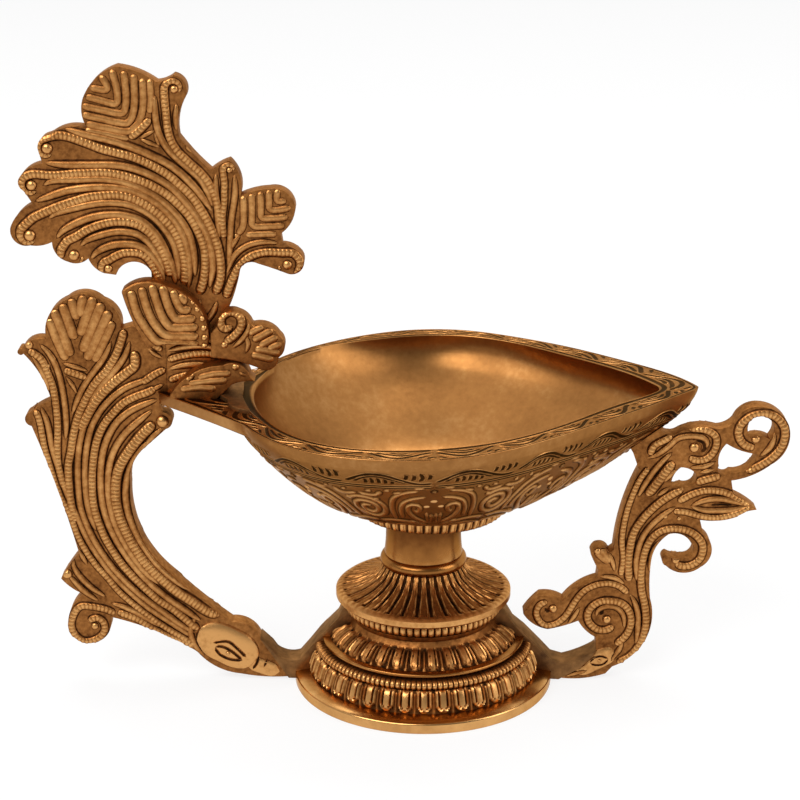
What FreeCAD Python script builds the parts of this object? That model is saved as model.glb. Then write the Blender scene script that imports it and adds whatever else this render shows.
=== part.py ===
# Brass oil lamp: a spouted bowl on a turned lotus pedestal, with cast plumes that
# make the handle on the left and a pierced scroll bracket under the spout.
# Lengths are millimetres. The origin is on the pedestal's axis at the table, +Z is
# up, the spout points along +X, and the front of the lamp looks along -Y.

import FreeCAD
import Part
import Sketcher
import os

# Driving sizes: alias, value, what it measures
SIZES = (
    ("flange_radius", 34.4, "base plate, outer radius"),
    ("flange_edge", 2.8, "base plate, height of its upright edge"),
    ("flange_top", 3.7, "base plate, height of the seat under the petals"),
    ("foot_ring_width", 7.4, "base plate, width of the ring it stands on"),
    ("web_underside", 6.4, "base plate, underside of the web that the nut pulls on"),
    ("web_thickness", 2.2, "base plate, thickness of that web"),
    ("skirt_foot_radius", 30.5, "lower petals, outer radius at their foot"),
    ("skirt_head_radius", 28.5, "lower petals, outer radius at their head"),
    ("skirt_bore_radius", 25.6, "lower petals, inner radius"),
    ("skirt_height", 5.6, "lower petals, height"),
    ("rope_radius", 28.8, "rope ring, outer radius"),
    ("rope_fall", 1.2, "rope ring, how far its edges fall inside its crown"),
    ("rope_height", 2.4, "rope ring, height"),
    ("ring_radius", 27.0, "plain ring, outer radius"),
    ("ring_groove_radius", 25.6, "plain ring, radius of the groove below it"),
    ("ring_groove_height", 0.4, "plain ring, height of that groove"),
    ("ring_height", 1.4, "plain ring, height with its groove"),
    ("inner_ring_radius", 20.8, "rope ring and plain ring, inner radius"),
    ("dome_foot_radius", 25.0, "upper petals, outer radius at their foot"),
    ("dome_head_radius", 20.0, "upper petals, outer radius at their head"),
    ("petal_height", 3.9, "upper petals, height"),
    ("cove_radius", 19.0, "cove above the upper petals, smallest radius"),
    ("cove_height", 3.3, "cove above the upper petals, height"),
    ("dome_wall", 3.2, "upper petals and cove, wall"),
    ("bead_ring_radius", 20.7, "bead ring under the cap, outer radius"),
    ("bead_ring_fall", 0.9, "bead ring, how far its edges fall inside its crown"),
    ("bead_ring_height", 3.6, "bead ring, height"),
    ("bead_ring_wall", 5.2, "bead ring, wall"),
    ("cap_radius", 23.2, "lotus cap, radius of its rim"),
    ("cap_rim_height", 2.7, "lotus cap, height of its rim"),
    ("cap_rim_chamfer", 0.6, "lotus cap, chamfers of its rim"),
    ("cap_rise", 6.4, "lotus cap, rise of its fluted cone"),
    ("cap_wall", 2.6, "lotus cap, wall"),
    ("neck_radius", 10.4, "neck, radius where its turned pieces meet"),
    ("neck_bead_swell", 1.0, "neck bead, swell over the neck"),
    ("neck_bead_height", 3.2, "neck bead, height"),
    ("sleeve_waist", 0.5, "neck sleeve, how far its waist draws in"),
    ("sleeve_height", 12.5, "neck sleeve, height"),
    ("calyx_foot_radius", 19.0, "fluted ring under the bowl, lower radius"),
    ("calyx_head_radius", 20.0, "fluted ring under the bowl, upper radius"),
    ("calyx_height", 2.9, "fluted ring under the bowl, height"),
    ("bowl_offset", 2.0, "bowl, how far its middle stands off the axis to the spout"),
    ("bowl_depth", 29.9, "bowl, height from its foot to its rim"),
    ("bowl_half_width", 54.0, "bowl, half its width across the rim"),
    ("spout_reach", 68.0, "bowl, reach of the spout from the bowl's middle"),
    ("well_radius", 16.0, "bowl, radius of the well's floor"),
    ("floor_thickness", 3.2, "bowl, thickness of its floor"),
    ("bowl_wall", 3.0, "bowl, thickness of its wall"),
    ("tail_length", 19.68, "bowl, length of the tail behind the rim"),
    ("tail_thickness", 3.2, "bowl, thickness of the tail"),
    ("boss_radius", 5.0, "bowl, radius of the threaded boss below it"),
    ("boss_length", 6.0, "bowl, length of that boss"),
    ("thread_depth", 4.6, "bowl, depth of the thread in the boss"),
    ("rod_radius", 2.5, "tie rod, radius"),
    ("rod_tip_level", 1.0, "tie rod, height of its lower end"),
    ("rod_tip_chamfer", 0.5, "tie rod, chamfer of its ends"),
    ("rod_clearance", 0.4, "clearance round the tie rod and the boss"),
    ("washer_radius", 7.0, "washer, outer radius"),
    ("washer_thickness", 1.0, "washer, thickness"),
    ("nut_flats", 8.0, "nut, width across its flats"),
    ("nut_height", 3.6, "nut, height"),
    ("plume_thickness", 5.0, "cast plumes and bracket, thickness"),
    ("rib_width", 2.0, "main ribs of the plumes, width"),
    ("rib_rise", 0.6, "main ribs of the plumes, rise over the plate"),
    ("crest_height", 85.0, "crest plume, height above the tail"),
    ("leaf_thickness", 5.0, "leaves in front of the crest, thickness"),
    ("bird_thickness", 6.0, "bird that lies on the tail, thickness"),
    ("arm_thickness", 7.0, "brazed arms beside the base, thickness"),
    ("braze_thickness", 1.2, "brazed patch on the tail, thickness"),
    ("cut_overrun", 3.0, "how far a cutting shape runs past the face it cuts"),
)

# Where the back of the rim stands from the bowl's middle, as a share of the spout's reach
RIM_BACK_SHARE = 0.74

# Heights and reaches that follow from the driving sizes
LEVELS = (
    ("skirt_base", "Sizes.flange_top"),
    ("rope_base", "Levels.skirt_base + Sizes.skirt_height"),
    ("ring_base", "Levels.rope_base + Sizes.rope_height"),
    ("dome_base", "Levels.ring_base + Sizes.ring_height"),
    ("cove_base", "Levels.dome_base + Sizes.petal_height"),
    ("bead_base", "Levels.cove_base + Sizes.cove_height"),
    ("cap_base", "Levels.bead_base + Sizes.bead_ring_height"),
    ("cone_base", "Levels.cap_base + Sizes.cap_rim_height"),
    ("neck_base", "Levels.cone_base + Sizes.cap_rise"),
    ("sleeve_base", "Levels.neck_base + Sizes.neck_bead_height"),
    ("calyx_base", "Levels.sleeve_base + Sizes.sleeve_height"),
    ("bowl_base", "Levels.calyx_base + Sizes.calyx_height"),
    ("rim_level", "Levels.bowl_base + Sizes.bowl_depth"),
    ("tail_underside", "Levels.rim_level - Sizes.tail_thickness"),
    ("tail_reach", f"{RIM_BACK_SHARE} * Sizes.spout_reach - Sizes.bowl_offset + Sizes.tail_length"),
    ("washer_base", "Sizes.web_underside - Sizes.washer_thickness"),
    ("rod_bore", "Sizes.rod_radius + Sizes.rod_clearance"),
    ("boss_bore", "Sizes.boss_radius + Sizes.rod_clearance"),
)

# Rim of the hand-raised bowl from the spout's tip round by the back: shares of the
# spout's reach and of the bowl's half width
RIM_SHARES = (
    (1.012, 0.04), (0.94, 0.205), (0.745, 0.465), (0.545, 0.685), (0.345, 0.85),
    (0.145, 0.965), (-0.075, 0.97), (-0.265, 0.875), (-0.47, 0.675), (-0.625, 0.425),
    (-0.715, 0.15), (-0.74, -0.11), (-0.72, -0.4), (-0.61, -0.69), (-0.405, -0.92),
    (-0.16, -1), (0.06, -0.98), (0.265, -0.86), (0.455, -0.67), (0.66, -0.435),
    (0.855, -0.2), (0.975, -0.045),
)

# Inner edge of the rim, in the same shares
WELL_SHARES = (
    (0.855, 0.045), (0.71, 0.31), (0.53, 0.53), (0.335, 0.74), (0.14, 0.855),
    (-0.06, 0.855), (-0.235, 0.79), (-0.41, 0.68), (-0.55, 0.5), (-0.63, 0.285),
    (-0.67, 0.035), (-0.665, -0.185), (-0.61, -0.445), (-0.515, -0.655), (-0.37, -0.8),
    (-0.175, -0.865), (0.015, -0.845), (0.19, -0.775), (0.37, -0.635), (0.56, -0.405),
    (0.72, -0.205),
)

# Swell of the bowl's outside: share of the depth, share of the way from foot to rim
BELLY_SHARES = ((0.1, 0.21), (0.33, 0.48), (0.66, 0.785), (0.86, 0.945), (1, 1))

# How much fuller the bowl swells towards its spout and its tail than towards its sides
LENGTHWISE_SWELL_SHARE = 0.28

# Sections of the well that run along the wall: share of the depth, share of the way
# from foot to rim that the outside has there, and share of the wall that a level cut
# through the slanting wall measures
WELL_WALL_SHARES = ((0.23, 0.37, 1.6), (0.465, 0.6, 1.35), (0.76, 0.87, 1.15))

# Tail, a flat wing: shares of the tail's reach and of the bowl's half width
TAIL_SHARES = (
    (-1, -0.055), (-1, 0.055), (-0.83, 0.16, -0.63, 0.31), (-0.53, 0.19), (-0.53, -0.45),
    (-0.63, -0.54), (-0.79, -0.32, -1, -0.055),
)

# Rows of an outline: a pair is a straight run to that point, and four numbers are
# an arc through the first point to the second

# Brazing metal run out over the tail and the rim: shares of the crest's height from the
# tail's tip towards the spout, and of the bowl's half width
BRAZE_SHARES = (
    (0.172, 0.02), (0.204, 0.085, 0.248, 0.1), (0.256, -0.055, 0.256, -0.165),
    (0.272, -0.28, 0.288, -0.38), (0.24, -0.335, 0.216, -0.22), (0.18, -0.11, 0.172, 0.02),
)

# Handle plume and its main ribs: shares of the tail's reach past the base plate, outward
# from the plate's edge, and of the rim's level upward
HANDLE_SHARES = (
    (0.049, 0.01), (0.271, 0.15), (0.373, 0.195, 0.494, 0.205), (0.798, 0.31, 1.071, 0.425),
    (1.233, 0.57, 1.253, 0.685), (1.223, 0.76, 1.121, 0.815), (0.96, 0.875), (0.909, 0.905, 0.98, 0.93),
    (1, 0.955), (1, 1), (0.939, 1), (0.939, 1.19), (1.061, 1.205, 1.192, 1.215), (1.273, 1.205),
    (1.293, 1.255, 1.405, 1.295), (1.536, 1.32, 1.678, 1.3), (1.82, 1.245, 1.84, 1.17),
    (1.951, 1.17, 2.032, 1.14), (2.052, 1.14, 2.022, 1.125), (1.901, 1.055, 1.83, 0.97),
    (1.931, 0.95, 2.002, 0.93), (2.022, 0.925, 1.992, 0.885), (1.83, 0.685, 1.678, 0.45),
    (1.769, 0.4, 1.83, 0.36), (1.799, 0.345, 1.658, 0.305), (1.789, 0.22, 1.789, 0.17),
    (1.637, 0.13, 1.486, 0.16), (1.455, 0.195, 1.465, 0.225), (1.081, 0.17, 0.777, 0.1),
    (0.646, 0.05, 0.433, 0.02), (0.261, 0.01, 0.049, 0.01),
)
HANDLE_RIB_SHARES = (
    (
        (1.34, 1.11), (1.565, 0.975), (1.695, 0.82), (1.72, 0.665), (1.655, 0.515),
        (1.49, 0.38), (1.255, 0.27), (1.015, 0.19), (0.79, 0.13),
    ),
    (
        (1.09, 1), (1.4, 0.91), (1.54, 0.735), (1.505, 0.55), (1.3, 0.385), (1.06, 0.285),
        (0.82, 0.205),
    ),
    (
        (1.06, 0.9), (1.29, 0.775), (1.365, 0.64), (1.27, 0.5), (1.075, 0.38), (0.85, 0.3),
        (0.6, 0.235),
    ),
    ((1.91, 1.115), (1.805, 1.005), (1.8, 0.81)),
    ((1.965, 0.945), (1.905, 0.835), (1.815, 0.72)),
)

# Crest plume and the leaves in front of it: shares of the crest's height, measured
# from the tail's tip towards the spout and up from the top of the tail
CREST_SHARES = (
    (0.21, 0), (0.215, 0.26), (0.24, 0.325, 0.25, 0.37), (0.27, 0.4, 0.305, 0.4),
    (0.35, 0.385, 0.39, 0.37), (0.435, 0.38, 0.44, 0.42), (0.415, 0.445, 0.38, 0.455),
    (0.375, 0.49), (0.41, 0.53, 0.42, 0.565), (0.4, 0.61, 0.345, 0.625),
    (0.305, 0.62, 0.26, 0.605), (0.255, 0.675, 0.23, 0.71), (0.205, 0.7, 0.175, 0.68),
    (0.125, 0.73, 0.085, 0.78), (0.085, 0.835, 0.105, 0.89), (0.11, 0.93, 0.075, 0.96),
    (0.05, 0.945, 0.025, 0.94), (-0.03, 0.97, -0.09, 0.985), (-0.15, 0.95, -0.19, 0.89),
    (-0.195, 0.855, -0.18, 0.805), (-0.235, 0.81, -0.29, 0.785), (-0.325, 0.76, -0.325, 0.735),
    (-0.315, 0.7), (-0.36, 0.685, -0.385, 0.66), (-0.39, 0.64, -0.375, 0.62),
    (-0.35, 0.58), (-0.39, 0.555, -0.42, 0.51), (-0.415, 0.475, -0.365, 0.455),
    (-0.33, 0.455, -0.3, 0.465), (-0.29, 0.43, -0.255, 0.405), (-0.23, 0.4, -0.195, 0.415),
    (-0.18, 0.39, -0.15, 0.37), (-0.115, 0.365), (-0.055, 0.405, -0.01, 0.375),
    (-0.01, 0.335), (0.025, 0.265), (0.025, 0),
)
CREST_RIB_SHARES = (
    ((-0.27, 0.785), (-0.105, 0.74), (0.045, 0.67), (0.15, 0.555), (0.19, 0.395)),
    ((-0.34, 0.67), (-0.19, 0.675), (-0.035, 0.655), (0.095, 0.56), (0.15, 0.405)),
    ((-0.355, 0.54), (-0.21, 0.595), (-0.07, 0.605), (0.04, 0.53), (0.09, 0.39)),
    ((-0.24, 0.475), (-0.14, 0.525), (-0.04, 0.52), (0.02, 0.455), (0.045, 0.385)),
    ((-0.13, 0.42), (-0.065, 0.435), (-0.005, 0.39)),
    ((0.045, 0.9), (0.055, 0.805), (0.095, 0.725), (0.15, 0.66), (0.19, 0.58)),
    ((0.395, 0.435), (0.31, 0.435), (0.245, 0.385)),
)
FAN_SHARES = (
    (-0.095, 0.33), (-0.035, 0.36, 0.04, 0.345), (0.13, 0.285, 0.16, 0.18), (0.155, 0.155),
    (0.075, 0.165, -0.025, 0.155), (-0.07, 0.25, -0.095, 0.33),
)
SCROLL_SHARES = (
    (0.165, 0.125), (0.165, 0.2), (0.185, 0.225), (0.2, 0.26, 0.25, 0.265),
    (0.275, 0.25, 0.29, 0.225), (0.33, 0.225, 0.37, 0.195), (0.385, 0.165, 0.365, 0.125),
    (0.345, 0.09, 0.3, 0.095), (0.235, 0.115, 0.165, 0.125),
)
BIRD_SHARES = (
    (0.035, 0), (0.1, 0.075, 0.2, 0.105), (0.255, 0.105, 0.28, 0.07), (0.295, 0.055),
    (0.26, 0.055, 0.225, 0.045), (0.18, 0),
)

# Spout bracket and its holes: shares of the spout tip's distance from the axis and
# of the rim's level; the seat lies inside the bowl's wall, and its second share is
# of the bowl's depth above the bowl's foot
BRACKET_OUTER_SHARES = (
    (0.52, 0.005), (0.63, 0.005, 0.7, 0.02), (0.725, 0.045), (0.805, 0.09, 0.855, 0.155),
    (0.87, 0.21, 0.86, 0.29), (0.855, 0.365, 0.86, 0.435), (0.885, 0.485, 0.92, 0.515),
    (0.965, 0.515, 1.005, 0.485), (1, 0.435, 0.975, 0.43), (0.945, 0.43, 0.915, 0.44),
    (0.9, 0.425, 0.915, 0.405), (0.98, 0.38, 1.045, 0.4), (1.085, 0.455, 1.05, 0.515),
    (1.035, 0.565), (1.125, 0.565, 1.21, 0.595), (1.245, 0.6), (1.2, 0.63, 1.155, 0.65),
    (1.145, 0.7), (1.225, 0.72, 1.29, 0.755), (1.35, 0.825, 1.345, 0.89),
    (1.305, 0.93, 1.235, 0.95), (1.185, 0.94, 1.145, 0.9), (1.125, 0.885, 1.085, 0.875),
    (1, 0.88, 0.945, 0.865), (0.91, 0.855, 0.875, 0.87),
)
BRACKET_SEAT_SHARES = ((0.885, 0.69), (0.765, 0.48))
BRACKET_INNER_SHARES = (
    (0.775, 0.795), (0.8, 0.735), (0.745, 0.61, 0.715, 0.46), (0.7, 0.45),
    (0.645, 0.465, 0.63, 0.445), (0.64, 0.425, 0.66, 0.39), (0.655, 0.355),
    (0.6, 0.335, 0.53, 0.28), (0.485, 0.295, 0.44, 0.295), (0.405, 0.265, 0.38, 0.235),
    (0.41, 0.205, 0.475, 0.18), (0.525, 0.19, 0.59, 0.21), (0.62, 0.175, 0.66, 0.15),
    (0.66, 0.11), (0.645, 0.085), (0.6, 0.045),
)
BRACKET_HOLE_SHARES = (
    (
        (1.2, 0.9), (1.225, 0.915, 1.27, 0.91), (1.29, 0.89, 1.28, 0.84),
        (1.245, 0.85, 1.205, 0.845), (1.195, 0.87, 1.2, 0.9),
    ),
    (
        (1.12, 0.825), (1.18, 0.8, 1.235, 0.79), (1.195, 0.735, 1.14, 0.725),
        (1.105, 0.72, 1.095, 0.75), (1.1, 0.8, 1.12, 0.825),
    ),
    (
        (0.955, 0.745), (0.985, 0.74, 1.01, 0.725), (1, 0.685, 0.96, 0.68),
        (0.925, 0.67), (0.93, 0.72, 0.955, 0.745),
    ),
)

# Brazed arms, upper outline from the plume or bracket to the bead ring: shares of the
# base plate's radius outward and of the cap's level upward
LEFT_ARM_SHARES = (
    (1.175, 0.385), (1.14, 0.31), (1.05, 0.25, 0.96, 0.26), (0.88, 0.4), (0.8, 0.55),
    (0.66, 0.76), (0.62, 0.88),
)
RIGHT_ARM_SHARES = (
    (1.325, 0.35), (1.2, 0.26, 1.09, 0.21), (1, 0.25), (0.92, 0.38), (0.79, 0.58),
    (0.7, 0.69), (0.63, 0.87),
)

doc = FreeCAD.newDocument("oil_lamp")
parts = []


def make_sheets():
    """Write the driving sizes, and the heights that follow from them."""
    sheet = doc.addObject("Spreadsheet::Sheet", "Sizes")
    for row, (alias, value, note) in enumerate(SIZES, start=1):
        sheet.set(f"A{row}", note)
        sheet.set(f"B{row}", str(value))
        sheet.setAlias(f"B{row}", alias)
    levels = doc.addObject("Spreadsheet::Sheet", "Levels")
    for row, (alias, formula) in enumerate(LEVELS, start=1):
        levels.set(f"A{row}", alias.replace("_", " "))
        levels.set(f"B{row}", "=" + formula.replace("Levels.", ""))
        levels.setAlias(f"B{row}", alias)
    doc.recompute()
    return sheet


sizes = make_sheets()


def size(name):
    """A driving size as a number."""
    return float(sizes.get(name))


def measure(expression):
    """The number that an expression of the two sheets has now."""
    return float(sizes.evalExpression(expression))


def new_body(name, keep=True):
    """An empty body; one that is kept becomes a sub-part of its own."""
    body = doc.addObject("PartDesign::Body", name)
    body.Label = name
    if keep:
        parts.append(body)
    return body


def origin_plane(body, role):
    """One of the body's own origin planes or axes."""
    return next(item for item in body.Origin.OriginFeatures if item.Role == role)


def new_sketch(body, name, role, height="0"):
    """A sketch on an origin plane, lifted along the plane's normal."""
    sketch = body.newObject("Sketcher::SketchObject", name)
    sketch.AttachmentSupport = [(origin_plane(body, role), "")]
    sketch.MapMode = "FlatFace"
    if height != "0":
        sketch.setExpression("AttachmentOffset.Base.z", height)
    return sketch


def draw_outline(sketch, rows):
    """Draw a closed outline whose every point is held by a pair of expressions.

    The first row is the starting point. Each later row is a straight run to its
    point, or an arc through its first point to its second.
    """
    constraints = []
    held = []

    def hold(geometry, position, point):
        for kind, axis, text in (("DistanceX", -2, point[0]), ("DistanceY", -1, point[1])):
            if text == "0":
                constraints.append(Sketcher.Constraint("PointOnObject", geometry, position, axis))
            else:
                held.append((len(constraints), text))
                value = measure(text)
                constraints.append(Sketcher.Constraint(kind, -1, 1, geometry, position, value))

    def place(point):
        return FreeCAD.Vector(measure(point[0]), measure(point[1]), 0)

    rows = list(rows)
    closes = tuple(rows[-1][-2:]) == tuple(rows[0])
    if not closes:
        rows.append(rows[0])
    here = place(rows[0])
    before = None
    first = None
    for number, row in enumerate(rows[1:], start=1):
        end = place(row[-2:])
        start_position = 1
        end_position = 2
        if len(row) == 2:
            geometry = sketch.addGeometry(Part.LineSegment(here, end), False)
        else:
            middle = place(row[:2])
            if (middle - here).cross(end - middle).z > 0:
                arc = Part.Arc(here, middle, end)
            else:
                arc = Part.Arc(end, middle, here)
                start_position = 2
                end_position = 1
            geometry = sketch.addGeometry(arc, False)
            guide = sketch.addGeometry(Part.Point(middle), True)
            hold(guide, 1, row[:2])
            constraints.append(Sketcher.Constraint("PointOnObject", guide, 1, geometry))
        if before is None:
            first = (geometry, start_position)
            hold(geometry, start_position, rows[0])
        else:
            constraints.append(Sketcher.Constraint("Coincident", *before, geometry, start_position))
        if number < len(rows) - 1:
            hold(geometry, end_position, row[-2:])
        else:
            constraints.append(Sketcher.Constraint("Coincident", geometry, end_position, *first))
        before = (geometry, end_position)
        here = end
    offset = sketch.ConstraintCount
    sketch.addConstraint(constraints)
    for index, text in held:
        sketch.setExpression(f"Constraints[{offset + index}]", text)


def draw_circle(sketch, radius, across="0", up="0"):
    """Draw a circle whose radius and centre are held by expressions."""
    centre = FreeCAD.Vector(measure(across), measure(up), 0)
    ring = sketch.addGeometry(Part.Circle(centre, FreeCAD.Vector(0, 0, 1), measure(radius)), False)
    held = sketch.addConstraint(Sketcher.Constraint("Radius", ring, measure(radius)))
    sketch.setExpression(f"Constraints[{held}]", radius)
    for kind, axis, text in (("DistanceX", -2, across), ("DistanceY", -1, up)):
        if text == "0":
            sketch.addConstraint(Sketcher.Constraint("PointOnObject", ring, 3, axis))
        else:
            held = sketch.addConstraint(Sketcher.Constraint(kind, -1, 1, ring, 3, measure(text)))
            sketch.setExpression(f"Constraints[{held}]", text)


def shared(shares, across, up, across_zero="0", up_zero="0"):
    """Turn rows of shares into rows of expressions."""
    zeros = (across_zero, up_zero)
    units = (across, up)
    rows = []
    for row in shares:
        texts = []
        for index, share in enumerate(row):
            zero = zeros[index % 2]
            if share == 0:
                texts.append(zero)
            elif zero == "0":
                texts.append(f"{share} * {units[index % 2]}")
            else:
                texts.append(f"{zero} + {share} * {units[index % 2]}")
        rows.append(tuple(texts))
    return rows


def turned(name, rows, keep=True):
    """A turned piece: its half section, spun about the vertical axis."""
    body = new_body(name, keep)
    sketch = new_sketch(body, f"{name}_section", "XZ_Plane")
    draw_outline(sketch, rows)
    spin = body.newObject("PartDesign::Revolution", f"{name}_turning")
    spin.Profile = sketch
    spin.ReferenceAxis = (sketch, ["V_Axis"])
    spin.Angle = 360
    return body


def cast_plate(name, rows, thickness, front=None, keep=True):
    """A cast plate upright along X, centred on the lamp or standing in front of it."""
    body = new_body(name, keep)
    sketch = new_sketch(body, f"{name}_outline", "XZ_Plane", front or "0")
    draw_outline(sketch, rows)
    pad = body.newObject("PartDesign::Pad", f"{name}_plate")
    pad.Profile = sketch
    pad.setExpression("Length", thickness)
    pad.SideType = "Symmetric" if front is None else "One side"
    return body


def base_flange():
    """Base plate: a low disc with a ring to stand on and a web for the nut."""
    recess = "(Sizes.flange_radius - Sizes.foot_ring_width)"
    web_top = "(Sizes.web_underside + Sizes.web_thickness)"
    spigot = "(Sizes.skirt_bore_radius - Sizes.rod_clearance)"
    return turned("base_flange", (
        ("Sizes.flange_radius", "0"),
        ("Sizes.flange_radius", "Sizes.flange_edge"),
        ("Sizes.skirt_foot_radius", "Sizes.flange_top"),
        (spigot, "Sizes.flange_top"),
        (spigot, web_top),
        ("Levels.rod_bore", web_top),
        ("Levels.rod_bore", "Sizes.web_underside"),
        (f"{spigot} - Sizes.web_thickness", "Sizes.web_underside"),
        (recess, "0"),
    ))


def petal_skirt():
    """Lower row of petals, a drafted ring over the base plate's spigot."""
    return turned("petal_skirt", (
        ("Sizes.skirt_foot_radius", "Levels.skirt_base"),
        ("Sizes.skirt_head_radius", "Levels.rope_base"),
        ("Sizes.skirt_bore_radius", "Levels.rope_base"),
        ("Sizes.skirt_bore_radius", "Levels.skirt_base"),
    ))


def rope_ring():
    """Ring of close beads above the lower petals."""
    edge = "Sizes.rope_radius - Sizes.rope_fall"
    middle = "Levels.rope_base + 0.5 * Sizes.rope_height"
    return turned("rope_ring", (
        ("Sizes.inner_ring_radius", "Levels.rope_base"),
        (edge, "Levels.rope_base"),
        ("Sizes.rope_radius", middle, edge, "Levels.ring_base"),
        ("Sizes.inner_ring_radius", "Levels.ring_base"),
    ))


def plain_ring():
    """Polished ring with a groove below it."""
    groove_top = "Levels.ring_base + Sizes.ring_groove_height"
    return turned("plain_ring", (
        ("Sizes.inner_ring_radius", "Levels.ring_base"),
        ("Sizes.ring_groove_radius", "Levels.ring_base"),
        ("Sizes.ring_groove_radius", groove_top),
        ("Sizes.ring_radius", groove_top),
        ("Sizes.ring_radius", "Levels.dome_base"),
        ("Sizes.inner_ring_radius", "Levels.dome_base"),
    ))


def pedestal_dome():
    """Upper row of petals and the plain cove above it, hollow inside."""
    middle = "Levels.cove_base + 0.5 * Sizes.cove_height"
    return turned("pedestal_dome", (
        ("Sizes.dome_foot_radius", "Levels.dome_base"),
        ("Sizes.dome_head_radius", "Levels.cove_base"),
        ("Sizes.cove_radius", middle, "Sizes.dome_head_radius", "Levels.bead_base"),
        ("Sizes.dome_head_radius - Sizes.dome_wall", "Levels.bead_base"),
        ("Sizes.dome_head_radius - Sizes.dome_wall", "Levels.cove_base"),
        ("Sizes.dome_foot_radius - Sizes.dome_wall", "Levels.dome_base"),
    ))


def cap_bead_ring():
    """Ring of round beads under the lotus cap."""
    edge = "Sizes.bead_ring_radius - Sizes.bead_ring_fall"
    bore = "Sizes.bead_ring_radius - Sizes.bead_ring_wall"
    middle = "Levels.bead_base + 0.5 * Sizes.bead_ring_height"
    return turned("cap_bead_ring", (
        (bore, "Levels.bead_base"),
        (edge, "Levels.bead_base"),
        ("Sizes.bead_ring_radius", middle, edge, "Levels.cap_base"),
        (bore, "Levels.cap_base"),
    ))


def lotus_cap():
    """Lotus cap: a plain rim and a hollow-sided cone, hollow below."""
    rim_inside = "Sizes.bead_ring_radius - Sizes.bead_ring_wall"
    sag_radius = "0.36 * Sizes.cap_radius + 0.64 * Sizes.neck_radius"
    sag_level = "Levels.cone_base + 0.36 * Sizes.cap_rise"
    return turned("lotus_cap", (
        ("Sizes.cap_radius - Sizes.cap_rim_chamfer", "Levels.cap_base"),
        ("Sizes.cap_radius", "Levels.cap_base + Sizes.cap_rim_chamfer"),
        ("Sizes.cap_radius", "Levels.cone_base - Sizes.cap_rim_chamfer"),
        ("Sizes.cap_radius - Sizes.cap_rim_chamfer", "Levels.cone_base"),
        (sag_radius, sag_level, "Sizes.neck_radius", "Levels.neck_base"),
        ("Levels.rod_bore", "Levels.neck_base"),
        ("Levels.rod_bore", "Levels.neck_base - Sizes.cap_wall"),
        ("Sizes.neck_radius - Sizes.cap_wall", "Levels.neck_base - Sizes.cap_wall"),
        (rim_inside, "Levels.cap_base"),
    ))


def neck_bead():
    """Turned bead between the cap and the sleeve."""
    swell = "Sizes.neck_radius + Sizes.neck_bead_swell"
    middle = "Levels.neck_base + 0.5 * Sizes.neck_bead_height"
    return turned("neck_bead", (
        ("Levels.rod_bore", "Levels.neck_base"),
        ("Sizes.neck_radius", "Levels.neck_base"),
        (swell, middle, "Sizes.neck_radius", "Levels.sleeve_base"),
        ("Levels.rod_bore", "Levels.sleeve_base"),
    ))


def neck_sleeve():
    """Smooth sleeve of the neck, bored for the bowl's boss."""
    waist = "Sizes.neck_radius - Sizes.sleeve_waist"
    middle = "Levels.sleeve_base + 0.5 * Sizes.sleeve_height"
    return turned("neck_sleeve", (
        ("Levels.boss_bore", "Levels.sleeve_base"),
        ("Sizes.neck_radius", "Levels.sleeve_base"),
        (waist, middle, "Sizes.neck_radius", "Levels.calyx_base"),
        ("Levels.boss_bore", "Levels.calyx_base"),
    ))


def bowl_calyx():
    """Fluted ring under the bowl, set off the axis with the bowl."""
    body = new_body("bowl_calyx")
    sketch = new_sketch(body, "calyx_section", "XZ_Plane")
    draw_outline(sketch, (
        ("0", "Levels.calyx_base"),
        ("Sizes.calyx_foot_radius", "Levels.calyx_base"),
        ("Sizes.calyx_head_radius", "Levels.bowl_base"),
        ("0", "Levels.bowl_base"),
    ))
    spin = body.newObject("PartDesign::Revolution", "calyx_turning")
    spin.Profile = sketch
    spin.ReferenceAxis = (sketch, ["V_Axis"])
    spin.Angle = 360
    bore_outline = new_sketch(body, "calyx_bore_outline", "XY_Plane", "Levels.bowl_base")
    draw_circle(bore_outline, "Levels.boss_bore", across="-Sizes.bowl_offset")
    bore = body.newObject("PartDesign::Pocket", "calyx_bore")
    bore.Profile = bore_outline
    bore.setExpression("Length", "Sizes.calyx_height + Sizes.cut_overrun")
    body.setExpression("Placement.Base.x", "Sizes.bowl_offset")
    return body


def bowl_section(body, name, outer, inner_radius, way, height, wall=0):
    """One level section of the bowl, part of the way from a circle to an outline.

    The outline is rows of shares, and each of its points has its own point on the
    circle, in the same direction from the bowl's middle. A wall draws it inward.
    """
    points = []
    for across, along in outer:
        rim = FreeCAD.Vector(across * size("spout_reach"), along * size("bowl_half_width"), 0)
        outward = FreeCAD.Vector(rim).normalize()
        ring = outward * inner_radius
        fuller = way + LENGTHWISE_SWELL_SHARE * outward.x * outward.x * way * (1 - way)
        points.append(ring + (rim - ring) * fuller - outward * wall)
    curve = Part.BSplineCurve()
    curve.interpolate(Points=points, PeriodicFlag=True)
    sketch = new_sketch(body, name, "XY_Plane", height)
    sketch.addGeometry(curve, False)
    return sketch


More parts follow.
